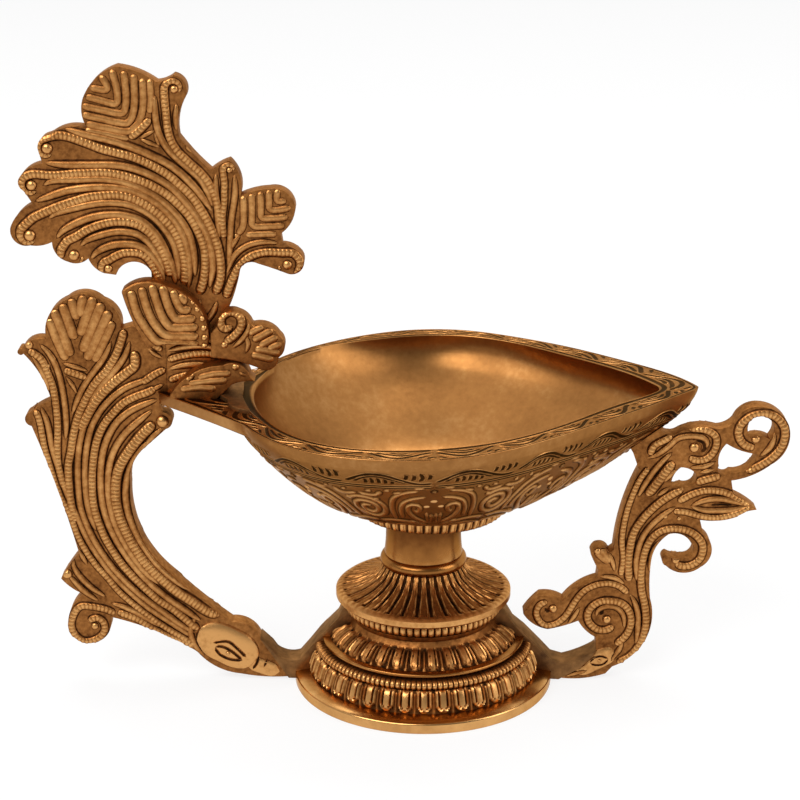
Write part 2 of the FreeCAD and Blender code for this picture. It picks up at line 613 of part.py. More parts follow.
def oil_bowl():
    """Spouted bowl with its well, its flat tail and the threaded boss below it."""
    body = new_body("oil_bowl")
    outside = [bowl_section(body, "belly_0", RIM_SHARES, size("calyx_head_radius"), 0, "Levels.bowl_base")]
    for number, (depth, way) in enumerate(BELLY_SHARES, start=1):
        height = f"Levels.bowl_base + {depth} * Sizes.bowl_depth"
        outside.append(bowl_section(body, f"belly_{number}", RIM_SHARES, size("calyx_head_radius"), way, height))
    belly = body.newObject("PartDesign::AdditiveLoft", "belly")
    belly.Profile = outside[0]
    belly.Sections = outside[1:]

    tail_outline = new_sketch(body, "tail_outline", "XY_Plane", "Levels.tail_underside")
    draw_outline(tail_outline, shared(
        TAIL_SHARES, "Levels.tail_reach", "Sizes.bowl_half_width", across_zero="-Sizes.bowl_offset",
    ))
    tail = body.newObject("PartDesign::Pad", "tail")
    tail.Profile = tail_outline
    tail.setExpression("Length", "Sizes.tail_thickness")

    well_floor = "Levels.bowl_base + Sizes.floor_thickness"
    inside = [bowl_section(body, "well_0", RIM_SHARES, size("well_radius"), 0, well_floor)]
    for number, (depth, way, slant) in enumerate(WELL_WALL_SHARES, start=1):
        height = f"Levels.bowl_base + {depth} * Sizes.bowl_depth"
        wall = slant * size("bowl_wall")
        inside.append(bowl_section(
            body, f"well_{number}", RIM_SHARES, size("calyx_head_radius"), way, height, wall))
    inside.append(bowl_section(body, "well_rim", WELL_SHARES, 0, 1, "Levels.rim_level"))
    well = body.newObject("PartDesign::SubtractiveLoft", "well")
    well.Profile = inside[0]
    well.Sections = inside[1:]

    for name, radius, height, kind, length in (
        ("boss", "Sizes.boss_radius", "Levels.bowl_base", "PartDesign::Pad", "Sizes.boss_length"),
        (
            "thread", "Sizes.rod_radius", "Levels.bowl_base - Sizes.boss_length",
            "PartDesign::Pocket", "Sizes.thread_depth",
        ),
    ):
        sketch = new_sketch(body, f"{name}_outline", "XY_Plane", height)
        draw_circle(sketch, radius, across="-Sizes.bowl_offset")
        feature = body.newObject(kind, name)
        feature.Profile = sketch
        feature.setExpression("Length", length)
        feature.Reversed = True
    body.setExpression("Placement.Base.x", "Sizes.bowl_offset")
    return body


def tie_rod():
    """Threaded rod from the bowl's boss down through the pedestal."""
    top = "Levels.bowl_base - Sizes.boss_length + Sizes.thread_depth"
    return turned("tie_rod", (
        ("0", "Sizes.rod_tip_level"),
        ("Sizes.rod_radius - Sizes.rod_tip_chamfer", "Sizes.rod_tip_level"),
        ("Sizes.rod_radius", "Sizes.rod_tip_level + Sizes.rod_tip_chamfer"),
        ("Sizes.rod_radius", f"{top} - Sizes.rod_tip_chamfer"),
        ("Sizes.rod_radius - Sizes.rod_tip_chamfer", top),
        ("0", top),
    ))


def tie_washer():
    """Washer between the nut and the base plate's web."""
    return turned("tie_washer", (
        ("Levels.rod_bore", "Levels.washer_base"),
        ("Sizes.washer_radius", "Levels.washer_base"),
        ("Sizes.washer_radius", "Sizes.web_underside"),
        ("Levels.rod_bore", "Sizes.web_underside"),
    ))


def tie_nut():
    """Hexagon nut that clamps the stack."""
    body = new_body("tie_nut")
    sketch = new_sketch(body, "nut_outline", "XY_Plane", "Levels.washer_base")
    corner = "(Sizes.nut_flats / sqrt(3))"
    half = "Sizes.nut_flats / 2"
    draw_outline(sketch, (
        (corner, "0"), (f"0.5 * {corner}", half), (f"-0.5 * {corner}", half),
        (f"-1 * {corner}", "0"), (f"-0.5 * {corner}", f"-{half}"), (f"0.5 * {corner}", f"-{half}"),
    ))
    draw_circle(sketch, "Sizes.rod_radius")
    pad = body.newObject("PartDesign::Pad", "nut_blank")
    pad.Profile = sketch
    pad.setExpression("Length", "Sizes.nut_height")
    pad.Reversed = True
    return body


def rib_rows(line):
    """Outline of a rib along a line of points: pointed at both ends, and full between."""
    spots = [FreeCAD.Vector(measure(across), measure(up), 0) for across, up in line]
    edges = {1: [], -1: []}
    for number in range(1, len(line) - 1):
        way = spots[number + 1] - spots[number - 1]
        square = FreeCAD.Vector(-way.y, way.x, 0).normalize()
        for side, edge in edges.items():
            steps = (side * square.x, side * square.y)
            edge.append(tuple(
                f"{text} + {step} * 0.5 * Sizes.rib_width" for text, step in zip(line[number], steps)
            ))
    loop = [line[0], *edges[1], line[-1], *reversed(edges[-1]), line[0]]
    return [loop[0], *(loop[number] + loop[number + 1] for number in range(1, len(loop), 2))]


def raise_ribs(body, lines):
    """Raise ribs along lines of points on both faces of a cast plate."""
    for number, line in enumerate(lines, start=1):
        sketch = new_sketch(body, f"{body.Label}_rib_outline_{number}", "XZ_Plane")
        draw_outline(sketch, rib_rows(line))
        rib = body.newObject("PartDesign::Pad", f"{body.Label}_rib_{number}")
        rib.Profile = sketch
        rib.SideType = "Symmetric"
        rib.setExpression("Length", "Sizes.plume_thickness + 2 * Sizes.rib_rise")


def beyond_plate(shares):
    """Rows of the handle plume, drawn outward from the base plate's edge."""
    return shared(
        shares, "(Sizes.flange_radius - Levels.tail_reach)", "Levels.rim_level",
        across_zero="-Sizes.flange_radius",
    )


def handle_plume():
    """Cast plume that rises from the base to the tail and is held as the handle."""
    body = cast_plate("handle_plume", beyond_plate(HANDLE_SHARES), "Sizes.plume_thickness")
    raise_ribs(body, map(beyond_plate, HANDLE_RIB_SHARES))
    return body


def above_tail(shares):
    """Rows of an ornament that stands on the tail, drawn in crest heights."""
    return shared(
        shares, "Sizes.crest_height", "Sizes.crest_height",
        across_zero="-Levels.tail_reach", up_zero="Levels.rim_level",
    )


def crest_plume():
    """Cast plume that stands on the tail above the handle."""
    body = cast_plate("crest_plume", above_tail(CREST_SHARES), "Sizes.plume_thickness")
    raise_ribs(body, map(above_tail, CREST_RIB_SHARES))
    return body


def tail_ornaments():
    """Fan leaf, scroll and small bird, brazed to the front of the crest's foot."""
    front = "0.5 * Sizes.plume_thickness"
    cast_plate("fan_leaf", above_tail(FAN_SHARES), "Sizes.leaf_thickness", front=front)
    cast_plate("scroll_leaf", above_tail(SCROLL_SHARES), "Sizes.leaf_thickness", front=front)
    return cast_plate("tail_bird", above_tail(BIRD_SHARES), "Sizes.bird_thickness", front=front)


def tail_braze(neighbours):
    """Patch of brazing metal on top of the tail, run up against the crest and bird."""
    body = new_body("tail_braze_blank", keep=False)
    sketch = new_sketch(body, "braze_outline", "XY_Plane", "Levels.rim_level")
    draw_outline(sketch, shared(
        BRAZE_SHARES, "Sizes.crest_height", "Sizes.bowl_half_width", across_zero="-Levels.tail_reach",
    ))
    pad = body.newObject("PartDesign::Pad", "braze_patch")
    pad.Profile = sketch
    pad.setExpression("Length", "Sizes.braze_thickness")
    return cut_away("tail_braze", body, neighbours)


def cut_away(name, blank, tools):
    """A kept piece that is a blank less the solids that it is fitted against."""
    tool = tools[0]
    if len(tools) > 1:
        tool = doc.addObject("Part::MultiFuse", f"{name}_neighbours")
        tool.Shapes = tools
    piece = doc.addObject("Part::Cut", name)
    piece.Base = blank
    piece.Tool = tool
    piece.Label = name
    parts.append(piece)
    return piece


def brazed_arm(name, side, shares, beak, neighbours):
    """Web of brazing metal that ties an ornament to the stack of rings."""
    outward = f"({side} * Sizes.flange_radius)"
    top = shared(shares, outward, "Levels.cap_base")
    inner = (
        ("0.5 * (Sizes.bead_ring_radius + Sizes.bead_ring_radius - Sizes.bead_ring_wall)", "Levels.cap_base"),
        ("Sizes.dome_head_radius - 0.5 * Sizes.dome_wall", "Levels.bead_base"),
        ("Sizes.dome_head_radius - 0.5 * Sizes.dome_wall", "Levels.cove_base"),
        ("Sizes.dome_foot_radius - 0.5 * Sizes.dome_wall", "Levels.dome_base"),
        ("0.5 * (Sizes.skirt_bore_radius + Sizes.skirt_head_radius)", "Levels.rope_base"),
        ("0.5 * (Sizes.skirt_bore_radius + Sizes.skirt_head_radius)", "Sizes.flange_top"),
        ("Sizes.flange_radius - 0.5 * Sizes.foot_ring_width", "0.25 * Sizes.flange_edge"),
    )
    rows = list(top)
    rows.extend((f"{side} * ({across})", level) for across, level in inner)
    rows.extend(beak)
    blank = cast_plate(f"{name}_blank", rows, "Sizes.arm_thickness", keep=False)
    return cut_away(name, blank, neighbours)


def spout_bracket(bowl):
    """Pierced scroll bracket under the spout, fitted to the bowl's outside."""
    across = "(Sizes.bowl_offset + Sizes.spout_reach)"
    rows = [
        *shared(BRACKET_OUTER_SHARES, across, "Levels.rim_level"),
        *shared(BRACKET_SEAT_SHARES, across, "Sizes.bowl_depth", up_zero="Levels.bowl_base"),
        *shared(BRACKET_INNER_SHARES, across, "Levels.rim_level"),
    ]
    blank = cast_plate("spout_bracket_blank", rows, "Sizes.plume_thickness", keep=False)
    for number, shares in enumerate(BRACKET_HOLE_SHARES, start=1):
        sketch = new_sketch(blank, f"bracket_hole_outline_{number}", "XZ_Plane")
        draw_outline(sketch, shared(shares, across, "Levels.rim_level"))
        hole = blank.newObject("PartDesign::Pocket", f"bracket_hole_{number}")
        hole.Profile = sketch
        hole.SideType = "Symmetric"
        hole.setExpression("Length", "Sizes.plume_thickness + 2 * Sizes.cut_overrun")
    return cut_away("spout_bracket", blank, [bowl])


def build():
    """Make every sub-part."""
    stack = [base_flange(), petal_skirt(), rope_ring(), plain_ring(), pedestal_dome(), cap_bead_ring()]
    lotus_cap()
    neck_bead()
    neck_sleeve()
    bowl_calyx()
    bowl = oil_bowl()
    tie_rod()
    tie_washer()
    tie_nut()
    handle_plume()
    crest = crest_plume()
    bird = tail_ornaments()
    tail_braze([crest, bird])
    spout_bracket(bowl)
    beak_left = beyond_plate(HANDLE_SHARES[:2])
    brazed_arm("left_arm", "-1", LEFT_ARM_SHARES, beak_left, stack)
    beak_right = shared(
        (BRACKET_OUTER_SHARES[0], *reversed(BRACKET_INNER_SHARES[-3:])),
        "(Sizes.bowl_offset + Sizes.spout_reach)", "Levels.rim_level",
    )
    brazed_arm("right_arm", "1", RIGHT_ARM_SHARES, beak_right, stack)


def write_parts():
    """Recompute, refuse anything that failed, and write one file for each part."""
    doc.recompute()
    for item in doc.Objects:
        if "Invalid" in item.State or "Error" in item.State:
            raise RuntimeError(f"{item.Label} failed: {item.State}")
    os.makedirs("parts", exist_ok=True)
    for part in parts:
        if part.Shape.isNull() or not part.Shape.isValid() or not part.Shape.Solids:
            raise RuntimeError(f"{part.Label} has no valid solid")
        part.Shape.exportStep(os.path.join("parts", f"{part.Label}.step"))
        box = part.Shape.BoundBox
        print(
            f"{part.Label}: {len(part.Shape.Solids)} solid, volume {part.Shape.Volume:.0f}, "
            f"x {box.XMin:.1f} to {box.XMax:.1f}, y {box.YMin:.1f} to {box.YMax:.1f}, "
            f"z {box.ZMin:.1f} to {box.ZMax:.1f}"
        )


build()
write_parts()
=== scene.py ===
"""Looks of a brass oil lamp (diya) with a plume handle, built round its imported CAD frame."""

import logging
import math
from bisect import bisect_right
from collections.abc import Callable, Iterable
from dataclasses import dataclass, field
from enum import Enum
from functools import partial

import bmesh
import bpy
from mathutils import Matrix, Vector
from mathutils.bvhtree import BVHTree


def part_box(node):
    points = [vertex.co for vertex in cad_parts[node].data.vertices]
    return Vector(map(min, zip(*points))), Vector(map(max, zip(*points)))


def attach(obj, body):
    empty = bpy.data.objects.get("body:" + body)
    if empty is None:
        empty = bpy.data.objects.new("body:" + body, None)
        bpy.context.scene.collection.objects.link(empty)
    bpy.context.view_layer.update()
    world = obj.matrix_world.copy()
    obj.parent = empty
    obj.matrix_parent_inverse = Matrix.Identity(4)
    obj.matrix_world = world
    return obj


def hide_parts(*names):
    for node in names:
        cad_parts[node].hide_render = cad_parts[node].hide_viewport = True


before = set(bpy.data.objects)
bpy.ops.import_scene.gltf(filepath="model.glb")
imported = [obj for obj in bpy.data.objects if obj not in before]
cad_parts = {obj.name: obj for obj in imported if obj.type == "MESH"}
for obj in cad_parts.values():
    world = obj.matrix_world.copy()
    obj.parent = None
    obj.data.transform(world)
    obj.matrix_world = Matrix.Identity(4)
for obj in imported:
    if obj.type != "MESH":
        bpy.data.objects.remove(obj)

MM = 0.001
TAU = 2 * math.pi
LOG = logging.getLogger("lamp")
# Vertex layer that holds how high each point stands in the relief
RELIEF = "relief"
# What turns a point of a drawing, in mm, into its place on a surface and the way out of it
Seat = Callable[[Vector], tuple[Vector, Vector]]


class Cut(Enum):
    """How a line of the lamp's relief is made."""

    BEADED = "strand notched into close beads"
    PLAIN = "smooth round strand"
    RIB = "flat rib of a leaf"
    BOSS = "broad smooth swelling under the other lines"
    CHASED = "dark chased line between raised lips"
    VINE = "narrow raised line of the bowl's scrolls"


@dataclass(frozen=True)
class Curl:
    """Tip of a strand that winds round a ball: the ball's place in mm and the turn in degrees."""

    x: float
    z: float
    turn: float


@dataclass(frozen=True)
class Line:
    """One strand of relief: its cut, half its width in mm, its points in mm and its curled tip."""

    cut: Cut
    half_width: float
    points: tuple[tuple[float, float], ...]
    curl: Curl | None = None


@dataclass(frozen=True)
class Drawing:
    """The drawing that a plate's relief was read from: its edges in mm, its lines and its beads."""

    left: float
    low: float
    right: float
    high: float
    lines: tuple[Line, ...]
    beads: tuple[tuple[float, float, float], ...]


def draw(cut: Cut, half_width: float, *points: tuple[float, float],
         curl: tuple[float, float, float] | None = None) -> Line:
    """Draw one line of the relief through its points, its first end curled where that is given."""
    return Line(cut, half_width, points, Curl(*curl) if curl else None)


beaded = partial(draw, Cut.BEADED)
plain = partial(draw, Cut.PLAIN)
rib = partial(draw, Cut.RIB)
boss = partial(draw, Cut.BOSS)
chased = partial(draw, Cut.CHASED)
vine = partial(draw, Cut.VINE)


def linear(code: str) -> tuple[float, float, float, float]:
    """Turn an sRGB hex colour into the linear colour that a shader takes.

    Args:
        code: six hex digits after a hash.

    Returns:
        Linear red, green, blue and an alpha of 1.
    """
    shares = [int(code[place:place + 2], 16) / 255 for place in (1, 3, 5)]
    bright = [s / 12.92 if s <= 0.04045 else ((s + 0.055) / 1.055) ** 2.4 for s in shares]
    return bright[0], bright[1], bright[2], 1.0


def add_node(tree: bpy.types.NodeTree, kind: str, settings: dict | None = None,
             links: dict | None = None, values: dict | None = None) -> bpy.types.Node:
    """Add a shader node with its settings, its linked inputs and its plain values.

    Args:
        tree: node tree that gets the node.
        kind: type of the node.
        settings: properties of the node itself.
        links: input name or number to the output socket that feeds it.
        values: input name or number to its constant.

    Returns:
        The new node.
    """
    node = tree.nodes.new(kind)
    for name, value in (settings or {}).items():
        setattr(node, name, value)
    for name, value in (values or {}).items():
        node.inputs[name].default_value = value
    for name, source in (links or {}).items():
        tree.links.new(source, node.inputs[name])
    return node


def cleared(owner: bpy.types.Material | bpy.types.World) -> bpy.types.NodeTree:
    """Give a material or a world an empty node tree."""
    owner.use_nodes = True
    owner.node_tree.nodes.clear()
    return owner.node_tree


def set_ramp(node: bpy.types.Node, stops: Iterable[tuple[float, tuple]]) -> None:
    """Give a colour ramp its stops.

    Args:
        node: the ramp's node.
        stops: place and colour of each stop, from low to high.
    """
    ramp = node.color_ramp
    stops = list(stops)
    while len(ramp.elements) < len(stops):
        ramp.elements.new(0.5)
    for element, (place, colour) in zip(ramp.elements, stops):
        element.position = place
        element.color = colour


# Heights in the relief at which a finish has its four colours
RAMP_PLACES = (0.0, 0.28, 0.62, 1.0)


@dataclass(frozen=True)
class Finish:
    """A metal finish whose colour and shine follow how high the surface stands in the relief.

    Attributes:
        name: name of the material.
        groove, shade, body, worn: colours from the bottom of a groove to a rubbed crest.
        dull, shine: roughness in a groove and on a rubbed crest.
        speck: size in mm of the fine patina.
        cloud: size in mm of the broad colour patches.
        speck_share, cloud_share: how far each of them moves the colour along the ramp.
        pit: depth in mm of the cast or worked skin.
        level: height in the relief taken where a piece has no relief of its own.
        glance: tint of what the metal mirrors where the eye meets it at a low angle.
    """

    name: str
    groove: str
    shade: str
    body: str
    worn: str
    dull: float
    shine: float
    speck: float = 1.2
    cloud: float = 9.0
    speck_share: float = 0.35
    cloud_share: float = 0.25
    pit: float = 0.05
    level: float | None = None
    glance: str = "#E2D0BC"

    def material(self) -> bpy.types.Material:
        """Build the finish as a material of shader nodes.

        Returns:
            The material.
        """
        material = bpy.data.materials.new(self.name)
        tree = cleared(material)
        place = add_node(tree, "ShaderNodeTexCoord")
        speck = add_node(tree, "ShaderNodeTexNoise", links={"Vector": place.outputs["Object"]},
                         values={"Scale": 1 / (self.speck * MM), "Detail": 4.0, "Roughness": 0.6})
        cloud = add_node(tree, "ShaderNodeTexNoise", links={"Vector": place.outputs["Object"]},
                         values={"Scale": 1 / (self.cloud * MM), "Detail": 3.0, "Roughness": 0.55})
        height = self.height(tree, speck.outputs["Fac"], cloud.outputs["Fac"])
        colour = add_node(tree, "ShaderNodeValToRGB", links={"Fac": height})
        set_ramp(colour, zip(RAMP_PLACES, map(linear, (self.groove, self.shade, self.body, self.worn))))
        gloss = add_node(tree, "ShaderNodeMapRange", links={"Value": height},
                         values={"To Min": self.dull, "To Max": self.shine})
        skin = add_node(tree, "ShaderNodeBump", links={"Height": speck.outputs["Fac"]},
                        values={"Strength": 0.6, "Distance": self.pit * MM})
        shader = add_node(tree, "ShaderNodeBsdfPrincipled",
                          links={"Base Color": colour.outputs["Color"],
                                 "Roughness": gloss.outputs["Result"],
                                 "Normal": skin.outputs["Normal"]},
                          values={"Metallic": 1.0, "Specular Tint": linear(self.glance)})
        add_node(tree, "ShaderNodeOutputMaterial", links={"Surface": shader.outputs["BSDF"]})
        return material

    def height(self, tree: bpy.types.NodeTree, speck: bpy.types.NodeSocket,
               cloud: bpy.types.NodeSocket) -> bpy.types.NodeSocket:
        """Mix the relief's own height with the fine and the broad patina.

        Args:
            tree: the material's node tree.
            speck: fine noise around one half.
            cloud: broad noise around one half.

        Returns:
            Socket of the height, 0 in a dark groove and 1 on a rubbed crest.
        """
        fine = add_node(tree, "ShaderNodeMath", {"operation": "MULTIPLY_ADD"}, {0: speck},
                        {1: 2 * self.speck_share, 2: -self.speck_share})
        if self.level is None:
            relief = add_node(tree, "ShaderNodeAttribute", {"attribute_name": RELIEF})
            both = add_node(tree, "ShaderNodeMath", {"operation": "ADD"},
                            {0: fine.outputs[0], 1: relief.outputs["Fac"]})
        else:
            both = add_node(tree, "ShaderNodeMath", {"operation": "ADD"},
                            {0: fine.outputs[0]}, {1: self.level})
        broad = add_node(tree, "ShaderNodeMath", {"operation": "MULTIPLY_ADD"}, {0: cloud},
                         {1: 2 * self.cloud_share, 2: -self.cloud_share})
        return add_node(tree, "ShaderNodeMath", {"operation": "ADD", "use_clamp": True},
                        {0: both.outputs[0], 1: broad.outputs[0]}).outputs[0]


# Antiqued cast brass: crests rubbed to bronze gold, grooves filled with dark brown patina
CAST = Finish("antique_brass", "#2A190D", "#63391A", "#A46C38", "#D79F60", 0.62, 0.32)
# Turned and buffed brass: smooth, warm glow, thin brown clouds left by handling
TURNED = Finish("polished_brass", "#341D0D", "#6E421E", "#A06A35", "#DDA868", 0.42, 0.17,
                speck=2.5, cloud=14.0, speck_share=0.12, cloud_share=0.3, pit=0.015)
# Hand-rubbed brass of the bowl: satin, with fine scratches and cloudy brown stains
SATIN = Finish("satin_brass", "#27160A", "#6A4220", "#9C6B3A", "#CF9D64", 0.5, 0.28,
               speck=1.6, cloud=16.0, speck_share=0.14, cloud_share=0.22, pit=0.012)
# Brazing metal: grey brown, lumpy and dull where the flux burnt on
BRAZE = Finish("brazing_metal", "#23170D", "#583C26", "#8F663D", "#BF905A", 0.64, 0.4,
               speck=2.2, cloud=6.0, speck_share=0.3, cloud_share=0.3, pit=0.12, level=0.5)
# Plain steel of the hidden fastening: grey, slightly dulled
STEEL = Finish("steel_hardware", "#3B3B3C", "#6F7072", "#97999B", "#B9BBBD", 0.5, 0.35,
               speck=1.5, speck_share=0.15, cloud_share=0.1, pit=0.01, level=0.6, glance="#E6E6E6")
# The finishes' materials by their names, made in main
METALS: dict[str, bpy.types.Material] = {}


# Crest plume on the tail, read one by one: its lines, then its beads with their radius, all in mm
CREST = Drawing(-103.7, 81.67, -30.27, 165.3, (
    beaded(1.12, (-79.5, 116.5), (-76, 118.3), (-72, 118.4), (-69.5, 117), (-68, 114.5), (-67, 112),
        (-66.7, 110.5), curl=(-79.5, 114.3, 200)),
    beaded(1.18, (-91, 119.5), (-89.5, 121.5), (-87, 122.8), (-84, 124.6), (-80, 126), (-76, 126.5),
        (-72, 125.8), (-69, 123.8), (-67, 121), (-65.5, 118), (-64.5, 115), (-64, 112),
        curl=(-88, 117.8, 200)),
    beaded(1.23, (-100.5, 125), (-98, 127.3), (-95, 128.8), (-91.5, 130.3), (-88, 131.5), (-84, 132.7),
        (-80, 133.2), (-76, 133.3), (-72, 132.2), (-68, 129.8), (-65, 127), (-62.5, 123.8), (-61, 120),
        (-60.3, 116), (-60.3, 112), (-60.8, 110), curl=(-98.8, 122.9, 180)),
    beaded(1.18, (-99.5, 137.8), (-97, 138.6), (-92, 138.3), (-86, 138.8), (-80, 139), (-76, 138.5),
        (-72, 137.4), (-68, 135.8), (-64, 133.3), (-61, 130.5), (-58.5, 127.5), (-56.5, 123.5),
        (-55.3, 119.5), (-55.2, 115), (-55.8, 111), (-57, 107.5), curl=(-97.7, 135.7, 180)),
    beaded(1.18, (-94, 147.6), (-91, 148.3), (-88, 148), (-84, 146.6), (-80, 145), (-76, 143.9),
        (-72, 142.8), (-68, 141), (-64, 138.6), (-61, 136), (-58, 132.9), (-55.5, 129), (-53.5, 125),
        (-52, 120.5), (-51.3, 116), (-51.5, 111.5), (-53, 107.5), curl=(-93.3, 145, 200)),
    beaded(1.06, (-63.9, 159.8), (-63.9, 157.5), (-63.7, 154), (-63.4, 150), (-62.6, 146.8), (-61, 144.2),
        (-58.5, 141.6), (-56, 139.3), (-53.8, 136.5), (-52.3, 133), (-51.5, 129.5), (-51, 125),
        curl=(-61.6, 159.8, -215)),
    beaded(0.9, (-50.1, 139.6), (-49.8, 136.5), (-49.9, 134), (-50, 131), (-50.5, 127), (-50.2, 122),
        curl=(-48.5, 139.6, -200)),
    beaded(1.12, (-31.5, 116.8), (-33, 118.3), (-36, 118.5), (-40, 118.6), (-43.5, 117.6), (-46.3, 115.3),
        (-48, 112.5), (-49.3, 109.5), (-50.3, 106.5), curl=(-34.5, 115.3, -200)),
    plain(1.09, (-93.5, 150.6), (-90, 150.3), (-84, 148.6), (-76, 146.6), (-68, 143.4), (-62, 140),
        (-57, 135), (-53, 129)),
    plain(1.09, (-99.2, 140.4), (-97, 141.6), (-90, 141), (-84, 140.9), (-76, 140.8), (-70, 139.2),
        (-64, 136), (-60, 132), (-56.5, 127), (-54, 121.5), (-53.3, 115), (-54.3, 109)),
    plain(1.01, (-95, 135.6), (-92, 136.9), (-86, 137.2), (-80, 137.3), (-74, 136.3), (-68, 133.6),
        (-63, 129.5), (-59.5, 124.5), (-58, 119), (-57.8, 112)),
    plain(1.09, (-103, 127.5), (-100, 130.3), (-94, 132.7), (-88, 134.6), (-80, 135.3), (-73, 134.4),
        (-67, 131.4), (-62.5, 126.8), (-60, 121.5), (-59.2, 115), (-59.6, 109)),
    plain(1.01, (-94, 127), (-92, 128.6), (-86, 130.3), (-80, 131.3), (-74, 130.9), (-69, 128.6),
        (-65.5, 125.2), (-63, 121), (-62, 116), (-62, 111)),
    plain(1.09, (-92.3, 122), (-90, 124.5), (-85, 127), (-80, 128.2), (-75, 128.1), (-70.5, 126.5),
        (-67, 123), (-65, 119), (-63.2, 114), (-62.8, 110)),
    plain(1.01, (-86.5, 120), (-84, 122), (-78, 123.8), (-73, 123.6), (-70, 122), (-67.8, 119.2),
        (-66.3, 116), (-65.4, 112)),
    plain(1.09, (-84, 116.6), (-82, 118.8), (-78, 120.5), (-73, 120.6), (-70, 119.3), (-67.8, 116.8),
        (-66.3, 113.8), (-65.7, 110)),
    plain(0.94, (-66.3, 158.5), (-66.2, 152), (-65.2, 147.8), (-63, 144.2), (-59.5, 140.8), (-56, 137.5),
        (-54, 134), (-52.8, 130)),
    plain(0.94, (-61, 156.5), (-61.3, 150.5), (-60, 147), (-57, 143.3), (-54, 140.9), (-51.8, 137)),
    plain(0.87, (-47.2, 138.5), (-47.3, 133), (-48.3, 127), (-48.8, 121), (-49.3, 114)),
    plain(0.87, (-51.8, 138.8), (-52, 135), (-51.8, 131), (-51.7, 127), (-51.3, 122)),
    plain(0.87, (-49.5, 118), (-47.8, 121), (-46, 123.5)),
    beaded(1.01, (-47.1, 88.6), (-51.7, 91.2), (-56, 92), (-60.5, 91.6), (-64.5, 90.6), (-68.3, 88.6)),
    plain(0.9, (-48.6, 90.8), (-52.5, 93.2), (-57, 94), (-61.5, 93.6), (-65.5, 92.6)),
    plain(0.9, (-49.5, 87.4), (-54.8, 88.8), (-60, 89), (-64.5, 88), (-68, 86.4)),
    beaded(0.9, (-53, 86), (-58, 86.6), (-62.5, 85.8), (-66.5, 84.2)),
    plain(0.9, (-52.3, 106), (-53.5, 103), (-55.5, 100.5), (-58, 98.5)),
    plain(0.9, (-56.5, 106.5), (-57.5, 103.5), (-59.5, 101)),
    plain(0.87, (-36.5, 120.9), (-41, 121.2), (-45, 120), (-48, 117.3), (-49.8, 113)),
    plain(0.72, (-97, 145), (-95.6, 141.5), (-92, 141.4)),
    rib(1.07, (-82.2, 160.2), (-79.8, 159.7), (-78.2, 159.6), (-77.8, 160.2), (-78.4, 161.6),
        (-79.8, 163.4)),
    rib(1.07, (-83.4, 158), (-79.3, 156.9), (-76.6, 156.2), (-75.5, 156.7), (-75.6, 160.2),
        (-76.6, 164.6)),
    rib(1.07, (-84, 155.6), (-79.4, 154.6), (-75.5, 153.8), (-73.9, 154.4), (-73.3, 158.2),
        (-73.7, 164.4)),
    rib(1.07, (-84, 153.4), (-79.5, 152.4), (-74.9, 151.4), (-72.7, 151.8), (-71.4, 155.6),
        (-71.2, 163.6)),
    rib(1.05, (-83.7, 151.2), (-78.6, 150.2), (-74.1, 149.3), (-71.6, 150), (-69.8, 153.1), (-69.1, 157.2),
        (-69.2, 162.4)),
    rib(1, (-82.6, 149.3), (-77.7, 148.3), (-73, 147.4)),
    rib(1, (-67.3, 161), (-67.3, 156.6), (-67.8, 153.6)),
    beaded(1.06, (-73, 147.5), (-70.2, 149.7), (-67.5, 152.5)),
    plain(0.72, (-74, 148.6), (-71.3, 150.9), (-68.5, 153.4)),
    plain(0.72, (-70.5, 147.5), (-68, 148.8), (-66.5, 149.6)),
    plain(0.72, (-66.5, 149.6), (-66.2, 147.5), (-65.5, 145.3)),
    plain(0.72, (-65.5, 145.3), (-68, 146.4), (-70.5, 147.5)),
    rib(1, (-45.2, 133.1), (-45.2, 128.9), (-45.4, 125.4), (-46.8, 123)),
    rib(1, (-43.1, 133.8), (-43.1, 128.4), (-43.2, 126), (-42.4, 125.2), (-39.4, 125.2), (-34.8, 125.4)),
    rib(1, (-40.9, 134.2), (-40.9, 130), (-40.9, 128), (-40.2, 127.3), (-37.8, 127.3), (-34, 127.6)),
    rib(1, (-38.8, 134.2), (-38.8, 131), (-38.8, 130), (-38, 129.4), (-36.2, 129.5), (-33.4, 130)),
    rib(0.95, (-36.7, 133.9), (-36.9, 132.4), (-36.4, 131.6), (-34.3, 131.8)),
    rib(0.95, (-43.5, 123.1), (-39.9, 123.2), (-36.9, 123.2)),
), (
    (-93.3, 145, 1.44), (-97.7, 135.7, 1.37), (-98.8, 122.9, 1.51), (-88, 117.8, 1.44),
    (-79.5, 114.3, 1.08), (-34.5, 115.3, 1.3), (-61.5, 159.7, 1.05), (-48.45, 139.5, 0.75),
    (-47.2, 122.9, 0.5),
))
